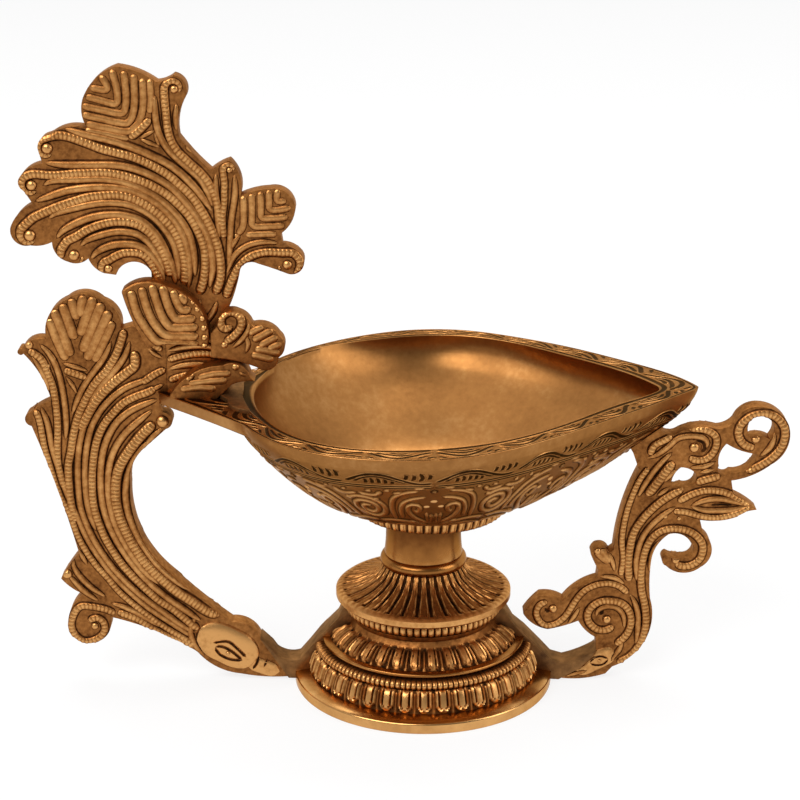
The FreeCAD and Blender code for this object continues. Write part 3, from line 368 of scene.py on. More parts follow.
# Handle plume, in the same way
HANDLE = Drawing(-103.7, 0.95, -35.97, 107.75, (
    beaded(0.9, (-100.5, 77.5), (-99.1, 74.2), (-98.1, 66.7), (-96.6, 60), (-94.8, 53.3), (-92.5, 48),
        (-91, 42.8), (-89.2, 38.4), (-86.6, 33.9), (-83.6, 30.1), (-80.6, 26), (-76.9, 22.3), (-73.1, 19),
        (-68.7, 15.6), (-64.2, 12.6), (-60.3, 10)),
    beaded(1.01, (-101, 93), (-97.8, 90.6), (-96.3, 86.9), (-95.1, 83.1), (-94.6, 78.7), (-94.4, 72.7),
        (-94.8, 66.7), (-94.8, 61.5), (-93.5, 55)),
    beaded(1.12, (-76.1, 98.5), (-77.2, 95.1), (-78.7, 91.4), (-81.3, 87.3), (-84, 84.3), (-86.2, 80.9),
        (-88.1, 77.2), (-89.6, 73.4), (-90.7, 68.9), (-91.4, 65.2), (-92.2, 61.5), (-92.3, 56.3),
        (-92, 51.1), (-91, 45.8)),
    beaded(1.12, (-68.7, 82.8), (-70.9, 81.6), (-73.9, 80.5), (-77.2, 78.7), (-80.2, 75.7), (-82.5, 72.7),
        (-84.3, 69), (-85.4, 64.5), (-86.2, 58), (-86.2, 51.1), (-85.1, 45.8), (-83.6, 41.4),
        (-81.7, 37.6), (-79.5, 33.9), (-76.9, 30.5), (-73.9, 27.2), (-70.1, 23.4), (-66.4, 20.8),
        (-61.9, 16.7), (-59.7, 14.9)),
    beaded(1.46, (-69.4, 73.4), (-73.1, 69.7), (-75.7, 66.4), (-78, 63), (-79.5, 59.6), (-80.2, 55.5),
        (-80.2, 51.1), (-79.3, 46.6), (-77.6, 42.1), (-75.4, 37.6), (-72.4, 33.1), (-69, 29.4),
        (-65.3, 26), (-61.2, 23.1), (-57.5, 20.4), (-54.1, 19)),
    beaded(1.34, (-88.7, 71.2), (-86, 76.5), (-83.6, 80.1), (-79.9, 83.9), (-76.1, 86.9), (-73.9, 89),
        (-73.9, 92.8)),
    beaded(1.01, (-81.3, 20.1), (-76, 18), (-72.4, 15.5), (-67, 12.5), (-61, 10)),
    beaded(1.01, (-81.8, 19.5), (-84.3, 20.8), (-88.1, 21.6), (-91, 21.6), (-92.9, 19.3), (-93.7, 16),
        (-92.5, 13), (-89.9, 11.5), (-86.8, 12.4), (-84.9, 14.6), (-85.2, 17.2), (-87, 18.3),
        (-89.3, 17.3)),
    beaded(1.01, (-60, 89.6), (-64.4, 88.4), (-68.6, 86.6), (-72.5, 84)),
    beaded(0.95, (-66.6, 92.8), (-68.4, 94), (-70.3, 95.8)),
    plain(0.8, (-66.6, 90.6), (-68.6, 91.8), (-70.4, 93.2)),
    plain(0.87, (-56, 86.6), (-61, 85.8), (-66, 84), (-70.4, 81.8)),
    plain(0.87, (-58, 92.6), (-63, 92.8), (-68, 91.8)),
    plain(0.87, (-102.4, 76.6), (-100.9, 71), (-99.2, 64), (-97.3, 57), (-95, 50), (-92.9, 44.4),
        (-91.4, 39.5), (-88.5, 33.2)),
    plain(0.87, (-98.6, 77.8), (-97, 73), (-96.2, 66.5), (-94.6, 59.8), (-92.9, 53.5), (-90.5, 47),
        (-88.5, 41.5), (-85.6, 36), (-82, 30.6), (-77.6, 25.6), (-72.6, 20.9), (-66.3, 16.3), (-61, 12.3)),
    plain(0.87, (-98, 94.6), (-95.3, 91.5), (-93.7, 87.5), (-92.8, 83), (-92.3, 78), (-92.2, 73),
        (-92.6, 68.5)),
    plain(0.87, (-100, 91), (-98, 88), (-96.6, 84), (-96.1, 80.6)),
    plain(0.87, (-79.5, 95.3), (-81.6, 91), (-84.5, 87), (-87, 83.5), (-89, 79.5), (-90.6, 75.5)),
    plain(0.94, (-74.8, 95.4), (-76.2, 91.6), (-78.7, 87.9), (-81.9, 84.2), (-84.6, 80.4), (-86.5, 76),
        (-88, 71.4), (-89.2, 66.5), (-89.8, 61), (-89.9, 55), (-89.5, 49.5), (-87.6, 43.2), (-85.2, 38),
        (-82.2, 33.2), (-78.6, 28.7), (-74.1, 24.2), (-69.6, 20.5), (-64.6, 16.4), (-60.8, 13.8)),
    plain(0.94, (-69, 85.6), (-73, 84.3), (-77, 82.5), (-80.6, 79.6), (-83.6, 76), (-85.9, 71.6),
        (-87.3, 66), (-88, 60), (-88, 53.5), (-87.3, 48), (-85.8, 43)),
    plain(1.01, (-68.2, 79.7), (-72, 78.3), (-75.6, 76.5), (-78.8, 73.8), (-81.3, 70), (-83, 65.5),
        (-83.9, 60), (-84, 53), (-83.1, 47.3), (-81.4, 42.3), (-79, 37.5), (-75.8, 32.6), (-72, 28),
        (-67.7, 24), (-62.5, 20), (-59, 17.2)),
    plain(1.01, (-69.8, 76.8), (-73.2, 74), (-76.5, 71), (-79.3, 67.3), (-81.2, 62.9), (-82.1, 57.5),
        (-82.1, 52), (-81.2, 46.5), (-79.4, 41.5), (-76.9, 36.7), (-73.8, 32), (-70, 27.9)),
    plain(1.01, (-70.5, 68.8), (-73.3, 65.7), (-75.6, 62.1), (-77, 58.5), (-77.7, 54.5), (-77.6, 50.3),
        (-76.7, 46), (-75, 41.5), (-72.5, 37), (-69.6, 33), (-66.2, 29.6), (-62, 26.3), (-58, 23.6),
        (-55, 21.9)),
    plain(0.87, (-67.2, 72), (-70, 69.5), (-72.5, 66.2), (-74.4, 62), (-75.6, 58)),
    plain(0.87, (-86, 23), (-90, 26.3), (-94, 31)),
    plain(0.87, (-84, 24.2), (-88.6, 27.8), (-92.2, 33), (-91.2, 37)),
    plain(0.87, (-83, 22.6), (-79, 21.3), (-74.5, 18.8), (-70, 15.6)),
    plain(0.87, (-82.6, 16.2), (-78, 15.8), (-73, 13.2), (-67, 10.2), (-60.5, 7.4)),
    plain(0.87, (-60.5, 18.8), (-62, 14.5), (-61, 10.5), (-58.5, 7)),
    beaded(1.01, (-92.2, 87.6), (-89.2, 86.6), (-86.2, 85.4)),
    plain(0.72, (-92.6, 89.4), (-89.2, 88.4), (-85.8, 87.2)),
    plain(0.72, (-91.8, 86), (-90.2, 83.6), (-89, 81)),
    plain(0.72, (-86.4, 84), (-87.6, 82.6), (-89, 81)),
    rib(1.4, (-95, 100.6), (-93.4, 95.5), (-91.2, 90)),
    rib(1.5, (-93.8, 103.4), (-91.9, 97.5), (-90.1, 91)),
    rib(1.5, (-91.8, 105.8), (-90.3, 100.5), (-88.9, 95.5)),
    rib(1.4, (-89.6, 107.2), (-88.8, 104), (-88, 100.7)),
    rib(1.4, (-86, 107.6), (-86.9, 104.5), (-87.5, 101.5)),
    rib(1.5, (-83.6, 106.7), (-85.8, 101.5), (-87.5, 96.5)),
    rib(1.5, (-81.8, 104.8), (-84.6, 98.5), (-87.2, 92.2)),
    rib(1.5, (-80.2, 102.3), (-83.3, 96), (-86.3, 90)),
    rib(1.31, (-79.4, 99.5), (-81.8, 94.5), (-84.4, 89.6)),
    boss(5.6, (-60.6, 13.7), (-56.5, 12.3), (-52.5, 10.4), (-48.5, 8), (-44.6, 5.2)),
    boss(2.2, (-47, 5.4), (-43, 4), (-38.5, 2.4)),
    chased(0.5, (-55.5, 10.2), (-54, 10.4), (-52.2, 9.7), (-50.2, 8.2), (-48.3, 6.2)),
    chased(0.5, (-55.5, 10.2), (-54.9, 8.8), (-53.6, 7.5), (-51.3, 6.5), (-48.3, 6.2)),
    chased(0.5, (-56.1, 11.4), (-52.1, 11.8), (-49.5, 9.7), (-47.2, 7)),
    chased(0.45, (-43.9, 7), (-44.6, 5), (-45.7, 3.3)),
    chased(0.4, (-41.6, 6.6), (-42.1, 5.2), (-42.7, 3.9)),
), (
    (-94, 31, 1.36), (-87.4, 15.9, 1.04), (-67.4, 73.6, 1.68), (-100.6, 94.2, 1.12), (-52.1, 8.4, 0.6),
    (-96.2, 88.6, 0.72),
))
# Pierced bracket under the spout
BRACKET = Drawing(26.57, 0.35, 94.6, 77.57, (
    beaded(1.12, (54.3, 28.7), (54, 34.2), (54.3, 38.7), (55.1, 42.6), (56.8, 45.9), (59, 48.7),
        (61.8, 51.4), (65.1, 53.7), (68.4, 55.6), (72.3, 57.3), (76.2, 58.4), (80.1, 59.2), (84, 60.1),
        (87.9, 62), (91.2, 64.8), (92.9, 68.1), (93, 71.4), (91.7, 73.8), (89.6, 75.3), (86.8, 75.7),
        (84, 74.9), (81.8, 72.9), (81.1, 70.6), (81.8, 68.4), (83.4, 66.9), (85.7, 66.3)),
    beaded(0.84, (52.1, 30.3), (52.6, 35.3), (52.1, 39.8), (52.3, 43.7), (52.9, 47.6), (53.7, 50.9),
        (54.8, 54.2), (56.2, 57.6), (58.4, 61)),
    beaded(1.01, (58.4, 64.2), (59.6, 67), (62.9, 68.9), (66.2, 70.9), (69.5, 71.6), (72.9, 71.2),
        (75.2, 69.6), (75.6, 67.4), (74.8, 65), (72.9, 63.2), (70.4, 63), (68.6, 63.8)),
    beaded(1.34, (58, 53), (60.1, 55.9), (62.3, 59.2), (64.8, 62.6)),
    beaded(1.01, (66.2, 51.4), (70.1, 53.6), (74, 54.6), (78.4, 54), (81.8, 52.4), (85.1, 50.4)),
    beaded(0.9, (65.1, 48.7), (68.4, 48.5), (72.3, 47.4), (76.2, 46.9), (79.5, 47.3), (82.9, 48.5),
        (85.1, 50)),
    plain(0.87, (69.6, 50.1), (73.4, 51.8), (77.3, 52.2), (81, 51.4), (84.4, 50.3)),
    plain(0.87, (69.6, 50.1), (73.2, 49), (77.3, 48.9), (81, 49.2), (84.4, 50.1)),
    chased(0.45, (74.5, 50.4), (77.7, 50.6), (81, 50.4)),
    beaded(1.06, (51.8, 5.1), (55.1, 7), (57.6, 10.3), (58.9, 14.2), (59.2, 18.1), (58.7, 22),
        (57.8, 25.9), (57.4, 29.8), (57.6, 33.7), (58.3, 37.6), (59.6, 40.7), (61.8, 42.9), (64.6, 43.8),
        (67.9, 43.6), (70.8, 42.4), (72.9, 40.2), (73.4, 37.9), (72.8, 35.5), (71, 33.7), (68.4, 33.2),
        (66.2, 34)),
    beaded(1.06, (51.2, 10.3), (54, 13.1), (55.2, 16.4), (54.9, 19.6), (53.2, 22), (50.7, 23.1),
        (47.3, 23.1), (44.8, 21.6), (43.6, 19.2), (44.2, 16.8), (46.2, 15), (48.8, 14.8), (50.8, 16.1)),
    beaded(0.9, (54.3, 25.3), (51.8, 27.4), (49, 28.2), (45.7, 27.8), (42.6, 26.1), (40.4, 23.4),
        (39, 20.8), (37.4, 18.3), (35.1, 16.5), (32.5, 16.1), (30.7, 17.6), (30, 20), (31, 22.1),
        (33, 22.9)),
    plain(0.87, (56.4, 28.7), (56, 34), (56.6, 38.6), (57.8, 42.1), (60, 45.2), (63, 48), (66, 50)),
    plain(0.87, (55.8, 52.5), (57.6, 56.4), (59.8, 60), (62.2, 63), (64.4, 65.2)),
    plain(0.94, (60.6, 52.8), (63.8, 55.2), (67.4, 57.6), (71.4, 59.3), (75.4, 60.4), (79.4, 61.2),
        (83, 62), (86.4, 63.6), (89.2, 66), (90.4, 68.8), (90.3, 71.3), (88.9, 73), (86.9, 73.4),
        (84.8, 72.7)),
    plain(0.87, (62.2, 56.6), (65.4, 60), (68.8, 60.8), (72.8, 61.2), (76, 62.8), (78.2, 65.2),
        (78.6, 68)),
    plain(0.87, (57.8, 63.4), (60.6, 64.6), (63.4, 66.9), (65.6, 69), (69, 69.6), (71.9, 69.2),
        (73.3, 67.7), (73, 65.9)),
    plain(0.87, (54.6, 5.3), (58.2, 8.2), (60.1, 12), (60.9, 16.5), (60.7, 21)),
    plain(0.87, (60.4, 24), (59.9, 29), (59.8, 33.6), (60.5, 37.6), (62.2, 40.4), (64.8, 41.6),
        (67.6, 41.4), (69.9, 40.1), (70.9, 38), (70.1, 36.2)),
    plain(0.87, (50.2, 5.6), (52.6, 9.4), (53.2, 12.2)),
    plain(0.87, (56.8, 10.4), (57.1, 14.6), (57.1, 18.7), (56.2, 22.4), (54.8, 25)),
    plain(0.8, (53.6, 15), (53.3, 18.6), (51.6, 21), (48.8, 21.6), (46.4, 20.4), (45.9, 18.4)),
    plain(0.8, (53.4, 27.8), (50.4, 29.8), (46.4, 30.2)),
    plain(0.8, (41.6, 21.4), (39.8, 18.2), (37.6, 15.6), (34.6, 14.3), (31.6, 14.6), (29.2, 16.8)),
    plain(0.8, (46.4, 30.4), (45, 33.2), (43.6, 35.8), (43.9, 38.2)),
    plain(0.8, (50.6, 31.4), (49.6, 34.8), (48.6, 37.2)),
    rib(1.12, (44.6, 39), (46.2, 36.5), (49, 34)),
    rib(1.12, (46.8, 39.3), (47.6, 36.5), (49.6, 34.2)),
    boss(2.7, (51.4, 8.6), (48, 6.6), (44.6, 4.8), (40.4, 2.6)),
    chased(0.36, (49.6, 6.4), (47.6, 7.2), (45.6, 6.6), (44.6, 5.2)),
    chased(0.36, (44.6, 5.2), (46, 4.6), (48.2, 4.8), (49.6, 6.4)),
    chased(0.9, (69.9, 68.9), (72.2, 67.9), (72.6, 66), (71.4, 65)),
    chased(0.8, (47.9, 20.4), (46.7, 18.9)),
    chased(0.7, (32.2, 21), (33.6, 19.6)),
    plain(0.65, (44.4, 8.2), (42, 6), (39.4, 3.8), (37, 1.6)),
    plain(0.65, (44, 3), (41, 2), (38, 1)),
), (
    (85.7, 68.8, 1.2), (69.9, 66.4, 1.36), (66.4, 35, 1.15), (48.8, 17.8, 1.2), (34.4, 20.9, 1.2),
    (45.7, 37.4, 1), (47.2, 5.8, 0.5), (63.2, 47.2, 0.64), (66.8, 46.6, 0.56),
))
# Large ribbed leaf in front of the crest's foot
FAN = Drawing(-76.7, 93.3, -54.4, 110.95, (
    rib(1.31, (-74, 107.5), (-73.3, 104.5), (-72.3, 101.6), (-70.3, 98.2), (-68.2, 95.5), (-66.2, 94.7),
        (-61.9, 94.5), (-56.9, 94.2)),
    rib(1.31, (-71.2, 108.4), (-70.4, 104.8), (-69.2, 101.4), (-67.6, 98.8), (-66.2, 97.3), (-64.4, 96.7),
        (-61, 96.6), (-56.9, 96.5)),
    rib(1.31, (-68.5, 109), (-67.5, 105.4), (-66.4, 102), (-65.2, 99.9), (-64.1, 98.9), (-62.6, 98.8),
        (-60, 98.9), (-56.9, 98.9)),
    rib(1.31, (-65.8, 108.8), (-65, 105.6), (-64, 102.9), (-63, 101.4), (-62, 101), (-60.4, 101.1),
        (-57.4, 101.3)),
    rib(1.25, (-63.2, 108), (-62.4, 105.6), (-61.5, 103.9), (-60.5, 103.5), (-58.6, 103.8)),
    rib(1.19, (-60.9, 106.8), (-60.3, 105.8), (-59.4, 105.7)),
    rib(1.12, (-56.6, 92.2), (-61.5, 92), (-68.6, 92.6)),
    beaded(1.01, (-74, 94), (-72, 92.8), (-70, 91.5)),
), (
    (-55.6, 93.9, 0.85), (-55.5, 96.2, 0.85), (-55.6, 98.7, 0.85), (-55.9, 101.2, 0.85),
    (-57.1, 103.7, 0.8), (-58.2, 105.6, 0.7),
))
# Curled scroll with its round ribbed leaf
SCROLL = Drawing(-54.4, 87.25, -35.55, 103.2, (
    beaded(1.1, (-50.9, 94.8), (-48.8, 96.3), (-46.9, 98.4), (-46.4, 100.6), (-47.2, 102.3), (-49, 103),
        (-50.9, 102.2), (-51.7, 100.5), (-51.2, 98.9), (-49.9, 98.6), (-49, 99.7)),
    plain(0.8, (-49, 93.4), (-46.6, 95.4), (-44.9, 98), (-44.4, 100.4)),
    rib(1.12, (-43.6, 97.7), (-40.4, 99.6)),
    rib(1.12, (-42.7, 95.9), (-38.5, 98.3)),
    rib(1.12, (-41, 94.4), (-36.9, 96.8)),
    rib(1.12, (-38.8, 93.5), (-36.3, 94.6)),
    rib(1.12, (-42, 93), (-36.6, 91.9)),
    rib(1.12, (-43, 91.4), (-38.4, 90.2)),
    plain(0.8, (-45.6, 97), (-44.9, 94.4), (-45.6, 91.8)),
), (
    (-50.9, 94.2, 0.9), (-36.4, 97.6, 0.75),
))
# Small bird on the tail
BIRD = Drawing(-65.65, 79.65, -43.3, 89.35, (
    beaded(1.06, (-61, 84.8), (-58.6, 87), (-55.6, 88.4), (-52.6, 89), (-50.2, 88.9)),
    plain(0.8, (-47.6, 87), (-46, 86.2), (-44.4, 85.8)),
    rib(1.06, (-50.6, 86.6), (-54, 86.4), (-58, 85.4)),
    rib(1.06, (-51.6, 84.7), (-56, 84.4), (-60.5, 83.8)),
    rib(1.06, (-54.6, 82.6), (-58, 82.8), (-62.5, 82.4)),
), (
    (-48.2, 88.4, 1),
))


# Distance in mm under which corners are one, on a CAD node and at the tips of a strand
WELD = 0.002
TIP_WELD = 0.001
# Angle in degrees under which two faces lie in one plane
FLAT = 1.0


def copied(node: str) -> bmesh.types.BMesh:
    """Copy a CAD node's mesh with its loose triangles joined.

    Args:
        node: name of the CAD node.

    Returns:
        A mesh with the node's shape, in metres.
    """
    shape = bmesh.new()
    shape.from_mesh(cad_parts[node].data)
    bmesh.ops.remove_doubles(shape, verts=shape.verts, dist=WELD * MM)
    for layer in list(shape.loops.layers.uv.values()):
        shape.loops.layers.uv.remove(layer)
    return shape


def relief_of(shape: bmesh.types.BMesh) -> bmesh.types.BMLayerItem:
    """Return the layer that holds how high each point stands in the relief, made if it is missing."""
    layers = shape.verts.layers.float
    return layers.get(RELIEF) or layers.new(RELIEF)


def blank() -> bmesh.types.BMesh:
    """Start an empty mesh that carries the relief's layer."""
    shape = bmesh.new()
    relief_of(shape)
    return shape


def all_of(shape: bmesh.types.BMesh) -> list:
    """List every corner, edge and face of a mesh."""
    return [*shape.verts, *shape.edges, *shape.faces]


def mesh_of(name: str, shape: bmesh.types.BMesh) -> bpy.types.Mesh:
    """Make a mesh of the scene from a worked mesh, which is freed."""
    mesh = bpy.data.meshes.new(name)
    shape.to_mesh(mesh)
    shape.free()
    return mesh


def join(target: bmesh.types.BMesh, part: bmesh.types.BMesh) -> None:
    """Add one mesh to another and free it."""
    carrier = mesh_of("carrier", part)
    target.from_mesh(carrier)
    bpy.data.meshes.remove(carrier)


def merge_flat(shape: bmesh.types.BMesh) -> None:
    """Make one face of the triangles that lie in one plane."""
    bmesh.ops.dissolve_limit(shape, angle_limit=math.radians(FLAT), verts=shape.verts,
                             edges=shape.edges)


def round_off(shape: bmesh.types.BMesh, edge: float, above: float, segments: int) -> None:
    """Round the edges of a mesh.

    Args:
        shape: the mesh.
        edge: rounding, in mm.
        above: angle in degrees above which an edge is rounded.
        segments: number of faces across a rounding.
    """
    rims = [side for side in shape.edges
            if len(side.link_faces) == 2 and side.calc_face_angle(0.0) > math.radians(above)]
    bmesh.ops.bevel(shape, geom=rims, offset=edge * MM, offset_type="OFFSET", segments=segments,
                    profile=0.5, affect="EDGES", material=-1, clamp_overlap=True)


def put(name: str, data: bpy.types.ID | None) -> bpy.types.Object:
    """Put an object with its data into the scene."""
    made = bpy.data.objects.new(name, data)
    bpy.context.scene.collection.objects.link(made)
    return made


def place_piece(name: str, shape: bmesh.types.BMesh, finish: Finish, nodes: tuple[str, ...] = (),
                sharp: float = 40.0) -> bpy.types.Object:
    """Make a finished mesh a piece of the lamp that rides on its body.

    Args:
        name: name of the piece.
        shape: its mesh, freed here.
        finish: its metal.
        nodes: CAD nodes that it stands for.
        sharp: angle in degrees above which an edge stays crisp.

    Returns:
        The piece.
    """
    mesh = mesh_of(name, shape)
    mesh.shade_smooth()
    mesh.set_sharp_from_angle(angle=math.radians(sharp))
    mesh.materials.append(METALS[finish.name])
    piece = put(name, mesh)
    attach(piece, "root")
    if nodes:
        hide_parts(*nodes)
    LOG.info("%s: %d faces", name, len(mesh.polygons))
    return piece


# Steps of a smooth line between two of its points, then its fewest steps once it is divided anew
KNOT_STEPS = 8
FEWEST_STEPS = 3
# Least length that is divided by
TINY = 1e-12
# Fewest steps of a curl, and its inner end's reach and width as shares of its outer end's
CURL_STEPS = 6
CURL_INNER = 0.62
CURL_SLIM = 0.45
# Share of a curl's outer girth over which the strand gains its full width
CURL_GIRTH = 0.8
# Distance between two beads of a strand in mm, steps in it, and what is left in the notch
BEAD_PITCH = 1.05
BEAD_STEPS = 3
NOTCH = 0.6
# Height of a section above which the notches cut it
NOTCH_FLOOR = 0.9
# How far a leaf's rib runs on before its first point, in mm
RIB_OVERRUN = 1.3
# Fewest steps of a strand that is still made where the surface is broken
SHORTEST = 4
# How far in front of a plate, in mm, the rays that find its surface start
SIGHT = 20.0
# Share of a plate's depth at which the ribs of the CAD solid are cut off
RIB_CUT = 0.996


def smooth_path(points: Iterable[tuple[float, float]], step: float, count: int = 0) -> list[Vector]:
    """Draw a smooth line through points and divide it into equal steps.

    Args:
        points: the points.
        step: length of a step, in the points' own unit.
        count: number of steps, where it is given instead.

    Returns:
        Points at equal steps, first and last included.
    """
    knots = [Vector(point) for point in points]
    knots = [2 * knots[0] - knots[1], *knots, 2 * knots[-1] - knots[-2]]
    fine = [knots[1]]
    for a, b, c, d in zip(knots, knots[1:], knots[2:], knots[3:]):
        for part in range(1, KNOT_STEPS + 1):
            t = part / KNOT_STEPS
            fine.append(0.5 * (2 * b + (c - a) * t + (2 * a - 5 * b + 4 * c - d) * t * t
                               + (3 * b - a - 3 * c + d) * t ** 3))
    runs = [0.0]
    for a, b in zip(fine, fine[1:]):
        runs.append(runs[-1] + (b - a).length)
    count = count or max(FEWEST_STEPS, round(runs[-1] / step))
    path = []
    place = 0
    for number in range(count + 1):
        reach = runs[-1] * number / count
        while place < len(runs) - 2 and runs[place + 1] < reach:
            place += 1
        share = (reach - runs[place]) / max(runs[place + 1] - runs[place], TINY)
        path.append(fine[place].lerp(fine[place + 1], share))
    return path


# Last row of every section, under the surface
UNDER = (0.0, -0.5, 0.0)


def section(*left: tuple[float, float, float]) -> tuple[tuple[float, float, float], ...]:
    """Complete a strand's section from its left side and close it under the surface."""
    return (*left, *((-across, up, bright) for across, up, bright in reversed(left) if across), UNDER)


# Sections of the strands: across in half widths, up in heights, and how bright it is rubbed. The dark low
# rows at the foot of ROPE and CREASE are patina in the crease and also painted shade where the strand
# meets the ground.
ROPE = section((-1.3, 0.0, 0.45), (-1.08, 0.04, 0.05), (-0.95, 0.25, 0.2), (-0.84, 0.66, 0.62),
               (-0.5, 0.9, 0.85), (0.0, 1.0, 1.0))
LEAF = section((-1.0, 0.0, 0.08), (-0.86, 0.45, 0.4), (-0.6, 0.88, 0.8), (0.0, 1.0, 0.95))
LIPS = section((-1.0, 0.0, 0.6), (-0.78, 1.0, 0.7), (-0.5, 0.4, 0.0))
# Its dark low rows at the foot are patina in the crease and also painted crease shade
CREASE = section((-1.4, 0.0, 0.42), (-1.1, 0.03, 0.02), (-0.92, 0.25, 0.25), (-0.6, 0.85, 0.78),
                 (0.0, 1.0, 0.92))
DOME = section((-1.0, 0.0, 0.45), (-0.92, 0.45, 0.95), (-0.72, 0.82, 1.0), (-0.4, 0.97, 0.98),
               (0.0, 1.0, 0.95))


@dataclass(frozen=True)
class Profile:
    """How a cut is shaped.

    Attributes:
        rows: its section.
        height: height of a strand, in half widths.
        taper: length over which its ends run out, in half widths.
        step: length of a step along it, in mm.
        bright: factor on how bright it is rubbed.
    """

    rows: tuple[tuple[float, float, float], ...]
    height: float
    taper: float
    step: float = 0.9
    bright: float = 1.0


PROFILES = {
    Cut.BEADED: Profile(ROPE, 0.7, 1.6, step=BEAD_PITCH / BEAD_STEPS),
    Cut.PLAIN: Profile(ROPE, 0.7, 7.0, bright=0.8),
    Cut.RIB: Profile(LEAF, 0.4, 1.2, step=0.45, bright=0.85),
    Cut.BOSS: Profile(DOME, 0.2, 1.3),
    Cut.CHASED: Profile(LIPS, 0.3, 1.6),
    Cut.VINE: Profile(CREASE, 0.6, 2.0),
}


@dataclass(frozen=True)
class Station:
    """A place along a strand: its point, the ways across and out, its size, brightness and notch."""

    point: Vector
    across: Vector
    out: Vector
    half_width: float
    height: float
    bright: float
    notch: float


@dataclass
class Strand:
    """One line of the relief, raised on the surface that it is drawn on.

    Attributes:
        line: the line as drawn.
        seat: places a point of the drawing on the surface.
        is_open: tells where there is no surface, and the strand is broken off.
    """

    line: Line
    seat: Seat
    is_open: Callable[[Vector], bool] | None = None

    def __post_init__(self) -> None:
        """Divide the line into steps and seat them."""
        self.profile = PROFILES[self.line.cut]
        self.wound = 0.0
        points = [Vector(point) for point in self.line.points]
        if self.line.curl is not None:
            points = [*self.curl(self.line.curl, points[0]), *points]
        if self.line.cut is Cut.RIB:
            points.insert(0, points[0] + RIB_OVERRUN * (points[0] - points[1]).normalized())
        self.path = smooth_path(points, self.profile.step)
        self.places = [self.seat(point) for point in self.path]

    def curl(self, curl: Curl, tip: Vector) -> list[Vector]:
        """Wind the strand's first end round its ball.

        Args:
            curl: the ball and the turn round it.
            tip: first point of the line.

        Returns:
            The curl's points in mm, from its inner end.
        """
        centre = Vector((curl.x, curl.z))
        reach = tip - centre
        turn = math.radians(curl.turn)
        self.wound = CURL_GIRTH * reach.length * abs(turn)
        start = math.atan2(reach.y, reach.x)
        count = max(CURL_STEPS, round(abs(turn) * reach.length / (2 * self.profile.step)))
        points = []
        for number in range(count):
            share = number / count
            angle = start + turn * (1 - share)
            radius = reach.length * (CURL_INNER + (1 - CURL_INNER) * share)
            points.append(Vector((centre.x + radius * math.cos(angle),
                                  centre.y + radius * math.sin(angle))))
        return points

    def stretches(self) -> list[tuple[int, int]]:
        """List the first and last place of each unbroken stretch of the strand.

        Returns:
            The stretches that are long enough to make.
        """
        found = []
        start = 0
        breaks = [self.is_open is not None and self.is_open(place) for place, _ in self.places]
        for number, is_open in enumerate([*breaks, True]):
            if is_open:
                if number - start >= SHORTEST:
                    found.append((start, number - 1))
                start = number + 1
        return found

    def spread(self, number: int) -> float:
        """Tell how much wider than drawn the strand is on the surface, so that it looks as drawn.

        Args:
            number: place along the path.

        Returns:
            Millimetres on the surface for one across the strand on the drawing.
        """
        way = self.path[min(number + 1, len(self.path) - 1)] - self.path[max(number - 1, 0)]
        side = 0.5 * Vector((-way.y, way.x)).normalized()
        point = self.path[number]
        return (self.seat(point + side)[0] - self.seat(point - side)[0]).length / MM

    def station(self, number: int, first: int, last: int) -> Station:
        """Work out the strand's size in mm, brightness and notch at one place.

        Args:
            number: the place.
            first, last: first and last place of its stretch.

        Returns:
            The station.
        """
        line, step = self.line, self.profile.step
        point, out = self.places[number]
        way = self.places[min(number + 1, last)][0] - self.places[max(number - 1, first)][0]
        run = number * step
        left = min(number - first, last - number) * step
        taper = self.profile.taper * line.half_width
        ease = math.sqrt(max(0.0, 1 - (1 - min(1.0, left / taper)) ** 2))
        if run < self.wound:
            ease *= CURL_SLIM + (1 - CURL_SLIM) * run / self.wound
        at_head = line.cut is Cut.RIB and run < line.half_width
        notched = line.cut is Cut.BEADED and number % BEAD_STEPS == 0
        return Station(point, way.normalized().cross(out), out,
                       line.half_width * ease * self.spread(number),
                       self.profile.height * line.half_width * ease,
                       1.0 if at_head else self.profile.bright, NOTCH if notched else 1.0)

    def swept(self, stations: list[Station]) -> bmesh.types.BMesh:
        """Sweep the strand's section along its stations.

        Args:
            stations: places along the strand, in order.

        Returns:
            A closed mesh, pointed at both ends.
        """
        shape = bmesh.new()
        relief = relief_of(shape)
        runs = len(stations) - 1
        sides = len(self.profile.rows)
        bmesh.ops.create_grid(shape, x_segments=runs, y_segments=sides, size=0.5)
        for vert in shape.verts:
            station = stations[round((vert.co.x + 0.5) * runs)]
            across, up, bright = self.profile.rows[round((vert.co.y + 0.5) * sides) % sides]
            low = station.notch if up >= NOTCH_FLOOR else 1.0
            vert.co = (station.point + station.across * (across * station.half_width * MM)
                       + station.out * (up * low * station.height * MM))
            vert[relief] = bright * station.bright * low
        bmesh.ops.remove_doubles(shape, verts=shape.verts, dist=TIP_WELD * MM)
        bmesh.ops.recalc_face_normals(shape, faces=shape.faces)
        return shape

    def build(self) -> bmesh.types.BMesh:
        """Raise the strand on its surface.

        Returns:
            The strand's mesh.
        """
        shape = blank()
        for first, last in self.stretches():
            places = range(first, last + 1)
            join(shape, self.swept([self.station(number, first, last) for number in places]))
        return shape


